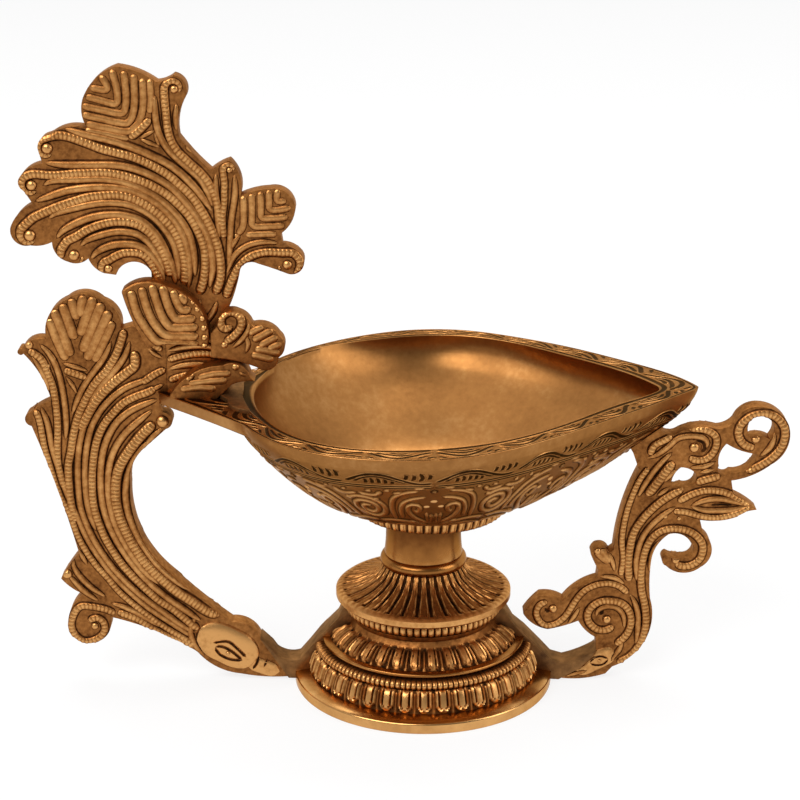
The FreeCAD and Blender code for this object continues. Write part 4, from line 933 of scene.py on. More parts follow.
@dataclass(frozen=True)
class Bead:
    """A round bead, a little flattened, half sunk in the surface.

    Attributes:
        radius: its radius, in mm.
        flat: its height as a share of its width.
        foot, rise: how bright it is where it meets the surface, and how much brighter its crown.
        buried, buried_bright: height in radii under which it is hidden, and how bright it is there.
        around, upward: mesh steps round it and from pole to pole.
    """

    radius: float
    flat: float = 0.72
    foot: float = 0.15
    rise: float = 1.1
    buried: float = -0.3
    buried_bright: float = 0.45
    around: int = 18
    upward: int = 10

    def build(self, centre: Vector, out: Vector) -> bmesh.types.BMesh:
        """Make the bead.

        Args:
            centre: its place on the surface.
            out: the surface's outward way.

        Returns:
            The bead's mesh.
        """
        shape = bmesh.new()
        relief = relief_of(shape)
        radius = self.radius * MM
        bmesh.ops.create_uvsphere(shape, u_segments=self.around, v_segments=self.upward, radius=radius)
        for vert in shape.verts:
            height = vert.co.z / radius
            crown = min(1.0, self.foot + self.rise * height)
            vert[relief] = crown if height > self.buried else self.buried_bright
        bmesh.ops.scale(shape, verts=shape.verts, vec=(1.0, 1.0, self.flat))
        bmesh.ops.rotate(shape, verts=shape.verts, matrix=out.to_track_quat("Z", "Y").to_matrix())
        bmesh.ops.translate(shape, verts=shape.verts, vec=centre)
        return shape


@dataclass
class CastPlate:
    """A cast plate of the lamp: its CAD outline with rounded edges, and the relief of its faces.

    Attributes:
        node: CAD node that it dresses.
        drawing: the relief, as read from the front.
        front: level of the plate's front face along Y, in metres.
        two_faced: whether the back carries the same relief as the front.
        edge: rounding of the plate's edges, in mm.
        ground, side: how bright the ground between the strands is, and the rest of the plate.
        skin: how near to its front level, in mm, a point is part of the ground.
        low, high: corners of the node's box.
    """

    node: str
    drawing: Drawing
    front: float
    two_faced: bool = True
    edge: float = 1.2
    ground: float = 0.5
    side: float = 0.55
    skin: float = 0.05
    low: Vector = field(init=False)
    high: Vector = field(init=False)

    def __post_init__(self) -> None:
        """Read the node's box once."""
        self.low, self.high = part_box(self.node)

    def seat(self, point: Vector) -> tuple[Vector, Vector]:
        """Place a point of the drawing on the plate's front face.

        Args:
            point: the point, in mm of the drawing.

        Returns:
            The point in metres and the way out of the face.
        """
        low, high, drawn = self.low, self.high, self.drawing
        across = (point.x - drawn.left) / (drawn.right - drawn.left)
        up = (point.y - drawn.low) / (drawn.high - drawn.low)
        place = Vector((low.x + across * (high.x - low.x), self.front, low.z + up * (high.z - low.z)))
        return place, Vector((0.0, -1.0, 0.0))

    def surface(self, point: Vector, ground: BVHTree) -> Vector | None:
        """Find the plate's front face at a point, or nothing where the plate is open."""
        start = Vector((point.x, self.front - SIGHT * MM, point.z))
        place = ground.ray_cast(start, Vector((0.0, 1.0, 0.0)))[0]
        return place if place is not None and place.y < self.front + self.edge * MM else None

    def drape(self, shape: bmesh.types.BMesh, ground: BVHTree) -> None:
        """Lay the relief on the plate: over its rounded edges and never past its outline.

        Args:
            shape: relief as drawn on a flat face, moved here.
            ground: the plate's surface.
        """
        for vert in shape.verts:
            flat = Vector((vert.co.x, self.front, vert.co.z))
            place = self.surface(flat, ground)
            if place is not None:
                vert.co.y += place.y - self.front
            else:
                vert.co = ground.find_nearest(flat)[0]

    def body(self) -> bmesh.types.BMesh:
        """Cut the CAD solid's own ribs off, round the plate's edges and darken its ground.

        Returns:
            The plate's mesh.
        """
        shape = copied(self.node)
        back = self.low.y + self.high.y - self.front
        if self.low.y < self.front:
            for face in (self.front, back):
                bmesh.ops.bisect_plane(shape, geom=all_of(shape), plane_co=(0.0, RIB_CUT * face, 0.0),
                                       plane_no=(0.0, face, 0.0), clear_outer=True)
            bmesh.ops.holes_fill(shape, edges=[edge for edge in shape.edges if edge.is_boundary],
                                 sides=0)
        merge_flat(shape)
        round_off(shape, self.edge, above=50.0, segments=3)
        relief = relief_of(shape)
        for vert in shape.verts:
            vert[relief] = self.ground if abs(vert.co.y - self.front) < self.skin * MM else self.side
        return shape

    def ornament(self, ground: BVHTree, swellings: bool) -> bmesh.types.BMesh:
        """Raise the broad swellings of the relief, or the strands and beads over them.

        Args:
            ground: the plate's surface.
            swellings: whether the swellings are made, and else the rest.

        Returns:
            The mesh of the relief, on both faces where the plate has two.
        """
        shape = blank()
        for line in self.drawing.lines:
            if (line.cut is Cut.BOSS) == swellings:
                strand = Strand(line, self.seat, lambda place: self.surface(place, ground) is None)
                join(shape, strand.build())
        for x, z, radius in () if swellings else self.drawing.beads:
            place, out = self.seat(Vector((x, z)))
            if self.surface(place, ground) is not None:
                join(shape, Bead(radius).build(place, out))
        self.drape(shape, ground)
        if self.two_faced:
            middle = Matrix.Translation((0.0, -0.5 * (self.low.y + self.high.y), 0.0))
            bmesh.ops.mirror(shape, geom=all_of(shape), matrix=middle, merge_dist=-1.0, axis="Y")
            bmesh.ops.recalc_face_normals(shape, faces=shape.faces)
        return shape

    def build(self) -> bpy.types.Object:
        """Make the dressed plate in place of its CAD node.

        Returns:
            The piece.
        """
        shape = self.body()
        for swellings in (True, False):
            join(shape, self.ornament(BVHTree.FromBMesh(shape), swellings))
        return place_piece(f"{self.node}_cast", shape, CAST, (self.node,))


@dataclass(frozen=True)
class Ring:
    """One carved ring of the pedestal.

    Attributes:
        node: CAD node that it dresses.
        face: carved part of its half section from the top down, as shares of the node's outer
            radius and of its height.
        back: the rest of the section, on from the foot of the face, in the same shares.
        motifs: how many times its motif is repeated.
        steps: mesh steps in one motif.
        depth: depth of the carving, in mm.
        motif: height of the carving, from 0 to 1, at a place across the motif, from -0.5 to 0.5,
            and down the face, from 0 to 1.
        rows: mesh rows down the face.
        bright: factor on how far the carving's crests are rubbed bright.
        back_bright: how bright the plain rest of the ring is rubbed.
        level: height of the carving, from 0 to 1, that keeps the CAD shape.
        fade: share of the face over which the carving runs out at its top and foot.
    """

    node: str
    face: tuple[tuple[float, float], ...]
    back: tuple[tuple[float, float], ...]
    motifs: int
    steps: int
    depth: float
    motif: Callable[[float, float], float]
    rows: int = 14
    bright: float = 1.0
    back_bright: float = 0.55
    level: float = 0.6
    fade: float = 0.125


def ridge(distance: float, half: float) -> float:
    """Height of a round ridge at a distance from its crest: 1 on it and 0 past its half width."""
    return max(0.0, 1 - (distance / half) ** 2)


@dataclass(frozen=True)
class Tongues:
    """Petals carved as a row of tongues with raised rims, open at the top and round below.

    Attributes:
        length: height of the face, in motif widths.
        half: half width of a tongue, in motif widths.
        rim: half width of its rim and of the spine beside it, in motif widths.
        foot: where the tongues end, as a share of the face's height.
        middle, swell: height of a tongue's face, and of the round swelling on it.
        spine: height of the spine between two tongues.
        ground: height of the ground below them.
        brow: share of the face above which there is no spine.
    """

    length: float
    half: float
    rim: float = 0.09
    foot: float = 0.9
    middle: float = 0.62
    swell: float = 0.25
    spine: float = 0.75
    ground: float = 0.1
    brow: float = 0.08

    def __call__(self, across: float, down: float) -> float:
        """Return the height of the carving at a place in the motif."""
        below = max(0.0, down * self.length - (self.foot * self.length - self.half))
        edge = math.hypot(across, below) - self.half
        if edge < -self.rim:
            return self.middle + self.swell * ridge(across, self.half)
        rim = ridge(edge, self.rim)
        spine = self.spine * ridge(0.5 - abs(across), self.rim) if down > self.brow else 0.0
        return max(rim, spine, self.ground if edge > 0 else 0.5 * rim)


@dataclass(frozen=True)
class Beads:
    """Row of close round beads.

    Attributes:
        half: half height of a bead, as a share of the face.
    """

    half: float = 0.52

    def __call__(self, across: float, down: float) -> float:
        """Return the height of the carving at a place in the motif."""
        return math.sqrt(ridge(across, 0.5) * ridge(down - 0.5, self.half))


@dataclass(frozen=True)
class CapFlutes:
    """Narrow tongues of the cap that widen to a round lobe near its rim.

    Attributes:
        half, widen: half width of a tongue at the top, and how much wider it is at the rim.
        lobe: where its round end begins, as a share of the face.
        stretch: height of the face, in motif widths.
        rim, crest: half width of the tongue's own rim, in motif widths, and its height.
        inset: how far inside its outline the tongue's face begins.
        middle, swell: height of a tongue's face, and of the round swelling on it.
        ground, floor: height outside a tongue's outline, and least height inside it.
        wave_from, wave: where the wavy border begins, and half the height of its waves.
    """

    half: float = 0.2
    widen: float = 0.14
    lobe: float = 0.84
    stretch: float = 3.2
    rim: float = 0.1
    crest: float = 0.95
    inset: float = 0.08
    middle: float = 0.5
    swell: float = 0.15
    ground: float = 0.05
    floor: float = 0.4
    wave_from: float = 0.93
    wave: float = 0.15

    def __call__(self, across: float, down: float) -> float:
        """Return the height of the carving at a place in the motif."""
        if down > self.wave_from:
            return 1 - self.wave + self.wave * math.cos(2 * TAU * across)
        half = self.half + self.widen * down
        edge = math.hypot(across, max(0.0, down - self.lobe) * self.stretch) - half
        if edge < -self.inset:
            return self.middle + self.swell * ridge(across, half)
        return max(self.crest * ridge(edge, self.rim), self.ground if edge > 0 else self.floor)


@dataclass(frozen=True)
class CalyxFlutes:
    """Upright flutes under the bowl, cut by hand, with dark grooves between them.

    Attributes:
        lean: how far a flute leans over the height of the face, in motif widths.
        groove, groove_half: depth of the groove between two flutes, and half its width.
        nick, nick_half: depth of the shallow line on a flute, and half its width.
    """

    lean: float = 0.12
    groove: float = 0.95
    groove_half: float = 0.24
    nick: float = 0.45
    nick_half: float = 0.12

    def __call__(self, across: float, down: float) -> float:
        """Return the height of the carving at a place in the motif."""
        skew = across + self.lean * (down - 0.5)
        return (1 - self.groove * ridge(0.5 - abs(skew), self.groove_half)
                - self.nick * ridge(skew - self.nick_half, self.nick_half))


@dataclass
class TurnedFoot:
    """The pedestal: a stack of turned and cast rings on a plain flange.

    Attributes:
        plain: turned members that keep the CAD shape, with the rounding of their edges in mm.
        rings: carved members.
        bright: how bright a plain member is rubbed.
        flange_edge_highlight, flange_shoulder: how bright the flange's upright edge and shoulder are; the
            edge's extra brightness is a painted highlight.
        shoulder: the shoulder's outer radius and lower level, as shares of the flange's.
        painted_neck_shadow_foot: how bright the neck is at its foot, from where it darkens up to nothing
            at its top: a painted shadow under the bowl.
    """

    plain: tuple[tuple[str, float], ...] = (
        ("base_flange", 0.35), ("plain_ring", 0.3), ("neck_bead", 0.2), ("neck_sleeve", 0.25),
    )
    rings: tuple[Ring, ...] = (
        Ring("petal_skirt", ((0.936, 1.0), (0.963, 0.82), (0.985, 0.5), (1.0, 0.18), (0.997, 0.0)),
             ((0.85, 0.0), (0.85, 1.0)), 38, 14, 0.85, Tongues(1.15, 0.3), bright=1.12),
        Ring("rope_ring", ((0.955, 1.0), (0.985, 0.85), (1.0, 0.5), (0.985, 0.15), (0.955, 0.0)),
             ((0.74, 0.0), (0.74, 1.0)), 130, 6, 0.5, Beads(), 8),
        Ring("pedestal_dome", ((0.8, 0.54), (0.86, 0.46), (0.94, 0.26), (0.985, 0.08), (1.0, 0.0)),
             ((0.7, 0.0), (0.7, 1.0), (0.8, 1.0), (0.788, 0.88), (0.76, 0.76), (0.78, 0.6)),
             32, 20, 0.9, Tongues(1.4, 0.24), bright=0.86, back_bright=0.45),
        Ring("cap_bead_ring", ((0.95, 1.0), (0.985, 0.85), (1.0, 0.5), (0.985, 0.15), (0.95, 0.0)),
             ((0.76, 0.0), (0.76, 1.0)), 70, 8, 0.8, Beads(), 9),
        Ring("lotus_cap", ((0.455, 1.0), (0.52, 0.74), (0.66, 0.51), (0.83, 0.36), (0.965, 0.3)),
             ((1.0, 0.23), (1.0, 0.07), (0.97, 0.0), (0.7, 0.0), (0.16, 0.0), (0.16, 1.0)),
             34, 18, 0.65, CapFlutes(), 20, bright=0.9, back_bright=0.9),
        Ring("bowl_calyx", ((1.0, 1.0), (0.99, 0.6), (0.965, 0.2), (0.94, 0.0)),
             ((0.3, 0.0), (0.3, 1.0)), 56, 8, 0.5, CalyxFlutes(), 8),
    )
    bright: float = 0.6
    # Brightness of the flange's upright edge, raised as a painted highlight
    flange_edge_highlight: float = 0.9
    flange_shoulder: float = 0.66
    shoulder: tuple[float, float] = (0.97, 0.33)
    # Brightness at the neck's foot; above it the neck darkens to its top, a painted shadow under the bowl
    painted_neck_shadow_foot: float = 0.72

    def build(self) -> list[bpy.types.Object]:
        """Make every member of the pedestal.

        Returns:
            The pieces.
        """
        made = [self.turn(node, edge) for node, edge in self.plain]
        return made + [self.carve(ring) for ring in self.rings]

    def turn(self, node: str, edge: float) -> bpy.types.Object:
        """Give a plain turned member rounded edges and a buffed face.

        Args:
            node: CAD node that it dresses.
            edge: rounding of its edges, in mm.

        Returns:
            The piece.
        """
        shape = copied(node)
        round_off(shape, edge, above=25.0, segments=2)
        relief = relief_of(shape)
        low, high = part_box(node)
        for vert in shape.verts:
            up = (vert.co.z - low.z) / (high.z - low.z)
            vert[relief] = self.bright
            if node == "base_flange":
                reach, level = self.shoulder
                inside = vert.co.xy.length / high.x < reach and up > level
                # The flange's upright edge gets a painted highlight, brighter than its shoulder
                vert[relief] = self.flange_shoulder if inside else self.flange_edge_highlight
            elif node == "neck_sleeve":
                # Painted shadow under the bowl: the neck darkens from its foot to nothing at its top
                vert[relief] = self.painted_neck_shadow_foot * (1 - up)
        return place_piece(f"{node}_turned", shape, TURNED, (node,), sharp=60.0)

    def carve(self, ring: Ring) -> bpy.types.Object:
        """Turn a ring and carve its face.

        Args:
            ring: the carved member.

        Returns:
            The piece.
        """
        low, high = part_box(ring.node)
        middle = 0.5 * (low.x + high.x)
        radius = high.x - middle
        height = high.z - low.z
        shape = bmesh.new()
        relief = relief_of(shape)
        down = shape.verts.layers.float.new("down")
        out = shape.verts.layers.float_vector.new("out")
        face, back = ([(r * radius, low.z + z * height) for r, z in side]
                      for side in (ring.face, ring.back))
        path = smooth_path(face, 0.0, ring.rows)
        knots = []
        for number, point in enumerate(path):
            way = path[min(number + 1, ring.rows)] - path[max(number - 1, 0)]
            vert = shape.verts.new((point.x, 0.0, point.y))
            vert[down] = number / ring.rows
            vert[out] = Vector((-way.y, way.x, 0.0)).normalized()
            knots.append(vert)
        for across, up in back:
            knots.append(shape.verts.new((across, 0.0, up)))
            knots[-1][down] = -1.0
        edges = [shape.edges.new(pair) for pair in zip(knots, knots[1:] + knots[:1])]
        bmesh.ops.spin(shape, geom=[*knots, *edges], cent=(0.0, 0.0, 0.0), axis=(0.0, 0.0, 1.0),
                       dvec=(0.0, 0.0, 0.0), angle=TAU, steps=ring.motifs * ring.steps,
                       use_merge=True)
        for vert in shape.verts:
            if vert[down] < 0:
                vert[relief] = ring.back_bright
                continue
            angle = math.atan2(vert.co.y, vert.co.x) + TAU
            carved = ring.motif(angle / TAU * ring.motifs % 1.0 - 0.5, vert[down])
            edge = min(1.0, min(vert[down], 1 - vert[down]) / ring.fade)
            push = (carved - ring.level) * ring.depth * MM * edge
            vert[relief] = carved * ring.bright
            side = vert.co.xy.normalized()
            vert.co += Vector((side.x * vert[out].x, side.y * vert[out].x, vert[out].y)) * push
        bmesh.ops.recalc_face_normals(shape, faces=shape.faces)
        bmesh.ops.translate(shape, verts=shape.verts, vec=(middle, 0.0, 0.0))
        return place_piece(f"{ring.node}_carved", shape, CAST, (ring.node,))


# Half of one palmette of the scroll band: across from its middle and up the bowl, in mm
PALMETTE = (
    vine(0.56, (0.65, 61.6), (0.7, 58.6), (0.8, 56.2)),
    vine(0.56, (1.85, 61.8), (1.75, 58.8), (1.7, 56.2)),
    vine(0.71, (1.9, 56.6), (3.5, 58.0), (5.4, 60.0), (6.3, 62.8), (5.6, 65.0), (4.2, 65.4),
         (3.3, 64.0), (3.9, 62.2), (4.9, 62.8)),
    vine(0.67, (0.0, 61.0), (0.0, 56.2)),
    vine(0.67, (6.0, 70.9), (8.6, 69.9)),
    vine(0.67, (12.0, 68.2), (12.9, 66.9)),
    vine(0.67, (4.4, 56.6), (7.2, 58.0)),
    vine(0.67, (8.3, 59.0), (8.0, 62.8), (6.6, 66.2), (4.3, 67.9), (1.5, 68.6)),
    vine(0.67, (10.4, 58.4), (9.9, 64.0), (8.4, 68.3), (5.7, 70.5), (2.8, 71.3)),
    vine(0.65, (10.6, 71.4), (11.4, 69.6), (13.0, 69.2), (15.5, 69.9)),
    vine(0.60, (12.6, 71.5), (13.4, 70.6)),
    vine(0.62, (0.0, 71.7), (0.0, 69.8)),
    vine(0.55, (1.5, 71.9), (2.6, 72.3), (4.4, 72.0)),
    vine(0.55, (8.9, 71.8), (9.6, 70.9)),
    vine(0.65, (1.9, 55.3), (6.8, 57.2), (10.8, 58.0), (15.5, 57.6)),
    vine(0.60, (3.5, 54.5), (9.0, 55.7), (15.5, 55.0)),
)
# Its beads, with their radius
PALMETTE_BEADS = ((0.0, 66.4, 1.1), (1.7, 64.2, 0.95))
# One leaf of the frieze: along it and up the bowl, in mm
FRIEZE_LEAF = (
    chased(0.57, (0.0, 74.4), (2.2, 75.9), (4.9, 77.4), (7.9, 77.2), (10.4, 75.7), (12.9, 74.4),
           (14.9, 74.1), (16.5, 74.4)),
    chased(0.46, (1.6, 74.4), (4.0, 76.3), (6.6, 76.7), (9.2, 75.6), (11.6, 74.3)),
    chased(0.56, (3.9, 76.1), (4.3, 75.0), (3.7, 73.8)),
    chased(0.56, (5.1, 76.4), (5.5, 75.1), (4.9, 73.8)),
    chased(0.56, (6.3, 76.5), (6.7, 75.1), (6.1, 73.8)),
    chased(0.56, (7.5, 76.3), (7.9, 75.0), (7.3, 73.8)),
    chased(0.56, (8.7, 75.8), (9.1, 74.8), (8.5, 73.8)),
    chased(0.6, (11.2, 77.9), (11.7, 76.8), (11.0, 75.5)),
    chased(0.6, (12.6, 77.9), (13.1, 76.6), (12.4, 75.2)),
    chased(0.6, (14.0, 77.9), (14.5, 76.5), (13.8, 75.0)),
    chased(0.6, (15.4, 77.9), (15.9, 76.7), (15.2, 75.3)),
)
# One leaf of the rim's top: along it and in from the rim's edge, in mm of a rim of this width
RIM_WIDTH = 6.0
RIM_LEAF = (
    chased(0.68, (0.0, 4.3), (2.0, 3.0), (4.2, 1.6), (6.2, 1.3), (8.2, 2.2), (10.3, 3.6), (12.4, 4.3)),
    chased(0.61, (1.2, 4.4), (3.4, 3.6), (5.6, 2.9), (7.4, 3.0), (9.2, 3.8)),
    chased(0.57, (4.0, 4.6), (5.2, 4.0), (6.8, 3.9), (8.0, 4.5)),
    chased(0.57, (9.2, 1.0), (10.2, 1.9), (11.6, 2.4)),
    chased(0.57, (10.8, 0.8), (11.6, 1.5), (12.8, 1.8)),
    chased(0.57, (0.2, 2.3), (1.4, 1.4), (2.6, 0.9)),
)


@dataclass(frozen=True)
class Spiral:
    """The spiral between two palmettes, in mm of the band's drawing.

    Attributes:
        x, z: its middle, along the band and up the bowl.
        wide, high: its reach along the band and up the bowl.
        hole: reach of its inner end, as a share of its outer one.
        turns: number of turns.
        steps: points in one turn.
        half_width: half width of its line.
    """

    x: float = 15.5
    z: float = 63.6
    wide: float = 4.6
    high: float = 5.0
    hole: float = 0.12
    turns: float = 2.4
    steps: int = 10
    half_width: float = 0.72

    def line(self) -> Line:
        """Draw the spiral from its inner end.

        Returns:
            The line.
        """
        points = []
        for number in range(round(self.steps * self.turns) + 1):
            angle = TAU * number / self.steps
            share = self.hole + (1 - self.hole) * number / (self.steps * self.turns)
            points.append((self.x + self.wide * share * math.cos(angle),
                           self.z + self.high * share * math.sin(angle)))
        return vine(self.half_width, *points)


# Share of a turn from the front of the lamp to its spout, which points along +X
FRONT = 0.25


@dataclass
class OilBowl:
    """The hand-raised bowl: satin well, chased rim and the engraved bands of its outside.

    Attributes:
        node: CAD node that it dresses.
        palmettes, leaves, rim_leaves: how often each band's drawing comes round.
        reference: level in mm at which the bands' drawings have their true length.
        line_levels: levels in mm of the double line between frieze and scrolls.
        under_tail: level in mm just under the tail.
        lip: how far the rim stands out beyond the wall under the tail, in mm.
        directions: number of ways in which the girth is measured.
        clear: how far out the rays that find the wall start, in lengths of the bowl.
        seam: height in mm of the narrow ring in which one brightness turns into the next.
        frieze_from, rim_from: levels in mm from which the frieze's and the rim's ground begin.
        curve_foot: height in mm above the calyx at which the wall gets a ring of corners.
        plain, frieze, tail_top: how bright the wall, the frieze's ground and the tail's top are.
        bead_sunk: how deep a bead is sunk in the wall, in radii.
        wall_half: half width in mm of the double line.
        rim_lines: inset and half width in mm of each edge line of the rim's top.
        line_step: distance in mm between two points of a line that runs round the bowl.
    """

    node: str = "oil_bowl"
    palmettes: int = 8
    leaves: int = 15
    rim_leaves: int = 20
    reference: float = 63.0
    line_levels: tuple[float, float] = (72.4, 73.2)
    under_tail: float = 78.3
    lip: float = 1.0
    directions: int = 720
    clear: float = 1.2
    seam: float = 0.3
    frieze_from: float = 73.1
    rim_from: float = 78.5
    curve_foot: float = 1.9
    plain: float = 0.6
    frieze: float = 0.55
    tail_top: float = 0.75
    bead_sunk: float = 0.4
    wall_half: float = 0.4
    rim_lines: tuple[tuple[float, float], ...] = ((0.45, 0.35), (5.3, 0.75))
    line_step: float = 4.0

    def __post_init__(self) -> None:
        """Copy the bowl and measure its girth at the reference level."""
        self.shape = copied(self.node)
        self.tree = BVHTree.FromBMesh(self.shape)
        low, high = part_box(self.node)
        calyx_low, calyx_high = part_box("bowl_calyx")
        self.middle = 0.5 * (calyx_low.x + calyx_high.x)
        self.foot = calyx_high.z
        self.top = high.z
        self.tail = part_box("tail_braze")[1].x
        self.reach = self.clear * (high.x - low.x)
        self.runs = [0.0]
        rows = [self.wall(self.way(number / self.directions), self.reference)[0]
                for number in range(self.directions + 1)]
        for a, b in zip(rows, rows[1:]):
            self.runs.append(self.runs[-1] + (b - a).length / MM)

    def way(self, share: float) -> Vector:
        """Point out of the bowl's middle, at a share of the turn from the front."""
        angle = TAU * (share - FRONT)
        return Vector((math.cos(angle), math.sin(angle), 0.0))

    def wall(self, way: Vector, level: float) -> tuple[Vector, Vector]:
        """Find the outside of the wall.

        Args:
            way: flat direction out of the bowl's middle.
            level: height in mm.

        Returns:
            The place on the wall and the way out of it.
        """
        start = Vector((self.middle, 0.0, level * MM)) + way * self.reach
        place, out, _, _ = self.tree.ray_cast(start, -way)
        return place, out

    def turned(self, length: float) -> Vector:
        """Turn a length along the reference level, in mm from the front, into a direction."""
        length %= self.runs[-1]
        place = min(bisect_right(self.runs, length), self.directions) - 1
        part = (length - self.runs[place]) / (self.runs[place + 1] - self.runs[place])
        return self.way((place + part) / self.directions)

    def on_wall(self, point: Vector) -> tuple[Vector, Vector]:
        """Seat a point of a band's drawing on the outside of the wall."""
        return self.wall(self.turned(point.x), point.y)

    def on_rim(self, point: Vector) -> tuple[Vector, Vector]:
        """Seat a point of the rim's drawing on its flat top."""
        way = self.turned(point.x)
        outer = self.wall(way, self.under_tail)[0] + way * self.lip * MM
        start = Vector((self.middle, 0.0, self.top - self.seam * MM))
        inner = self.tree.ray_cast(start, way)[0]
        place = outer.lerp(inner, point.y / RIM_WIDTH)
        place.z = self.top
        return place, Vector((0.0, 0.0, 1.0))

    def band(self, lines: Iterable[Line], times: int, seat: Seat, mirrored: bool = False
             ) -> bmesh.types.BMesh:
        """Chase a drawing round the bowl.

        Args:
            lines: strands of one repeat.
            times: how often it comes round.
            seat: places a point of the drawing on the bowl.
            mirrored: whether each repeat is drawn to both sides.

        Returns:
            The band's mesh.
        """
        shape = blank()
        for number in range(times):
            shift = number * self.runs[-1] / times
            for line in lines:
                for side in (1, -1) if mirrored else (1,):
                    points = [(shift + side * x, z) for x, z in line.points]
                    join(shape, Strand(draw(line.cut, line.half_width, *points), seat).build())
        return shape

    def scrolls(self) -> bmesh.types.BMesh:
        """Raise the palmettes and the spirals between them.

        Returns:
            The band's mesh.
        """
        shape = self.band(PALMETTE, self.palmettes, self.on_wall, mirrored=True)
        join(shape, self.band((Spiral().line(),), self.palmettes, self.on_wall))
        for number in range(self.palmettes):
            shift = number * self.runs[-1] / self.palmettes
            for x, z, radius in PALMETTE_BEADS:
                for side in (1, -1) if x else (1,):
                    place, out = self.on_wall(Vector((shift + side * x, z)))
                    sunk = place - out * self.bead_sunk * radius * MM
                    join(shape, Bead(radius).build(sunk, out))
        return shape

    def rings(self) -> bmesh.types.BMesh:
        """Chase the double line of the wall and the edge lines of the rim's top.

        Returns:
            The mesh of the lines.
        """
        shape = blank()
        count = round(self.runs[-1] / self.line_step)
        along = [self.runs[-1] * number / count for number in range(count + 1)]
        lines = [(level, self.wall_half, self.on_wall) for level in self.line_levels]
        lines += [(inset, half_width, self.on_rim) for inset, half_width in self.rim_lines]
        for level, half_width, seat in lines:
            join(shape, Strand(chased(half_width, *((x, level) for x in along)), seat).build())
        return shape

    def build(self) -> list[bpy.types.Object]:
        """Make the dressed bowl and its engraved bands.

        Returns:
            The pieces.
        """
        scrolls = self.scrolls()
        frieze = self.band(FRIEZE_LEAF, self.leaves, self.on_wall)
        rim = self.band(RIM_LEAF, self.rim_leaves, self.on_rim)
        join(rim, self.rings())
        shape = self.shape
        relief = relief_of(shape)
        low, high = self.line_levels
        foot = self.foot / MM + self.curve_foot
        for level in (foot - self.seam, foot, low, high, self.under_tail, self.under_tail + self.seam):
            bmesh.ops.bisect_plane(shape, geom=all_of(shape), plane_co=(0.0, 0.0, level * MM),
                                   plane_no=(0.0, 0.0, 1.0))
        shape.normal_update()
        for vert in shape.verts:
            outward = Vector((vert.co.x - self.middle, vert.co.y, 0.0))
            level = vert.co.z / MM
            vert[relief] = self.plain
            if level > self.rim_from:
                if vert.co.x < self.tail:
                    vert[relief] = self.tail_top
            elif level > self.frieze_from and vert.normal.dot(outward) > 0:
                vert[relief] = self.frieze
        return [place_piece("oil_bowl_raised", shape, SATIN, (self.node,), sharp=35.0),
                place_piece("bowl_scroll_band", scrolls, SATIN),
                place_piece("bowl_leaf_frieze", frieze, SATIN),
                place_piece("bowl_rim_band", rim, SATIN)]


@dataclass
class Brazing:
    """Brazed joints: dull metal run between the ornaments, the tail and the rings.

    Attributes:
        nodes: CAD nodes that are brazing metal, with the rounding of their edges in mm.
    """

    nodes: tuple[tuple[str, float], ...] = (("tail_braze", 0.5), ("left_arm", 1.6), ("right_arm", 1.6))

    def build(self) -> list[bpy.types.Object]:
        """Make every run of brazing metal.

        Returns:
            The pieces.
        """
        made = []
        for node, edge in self.nodes:
            shape = copied(node)
            merge_flat(shape)
            round_off(shape, edge, above=50.0, segments=3)
            made.append(place_piece(f"{node}_run", shape, BRAZE, (node,)))
        return made


@dataclass
class HiddenFastening:
    """Rod, washer and nut inside the pedestal, which keep their CAD shape."""

    nodes: tuple[str, ...] = ("tie_rod", "tie_washer", "tie_nut")

    def dress(self) -> None:
        """Give the steel parts their finish."""
        for node in self.nodes:
            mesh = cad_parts[node].data
            mesh.materials.clear()
            mesh.materials.append(METALS[STEEL.name])
            LOG.info("%s: keeps its CAD shape", node)


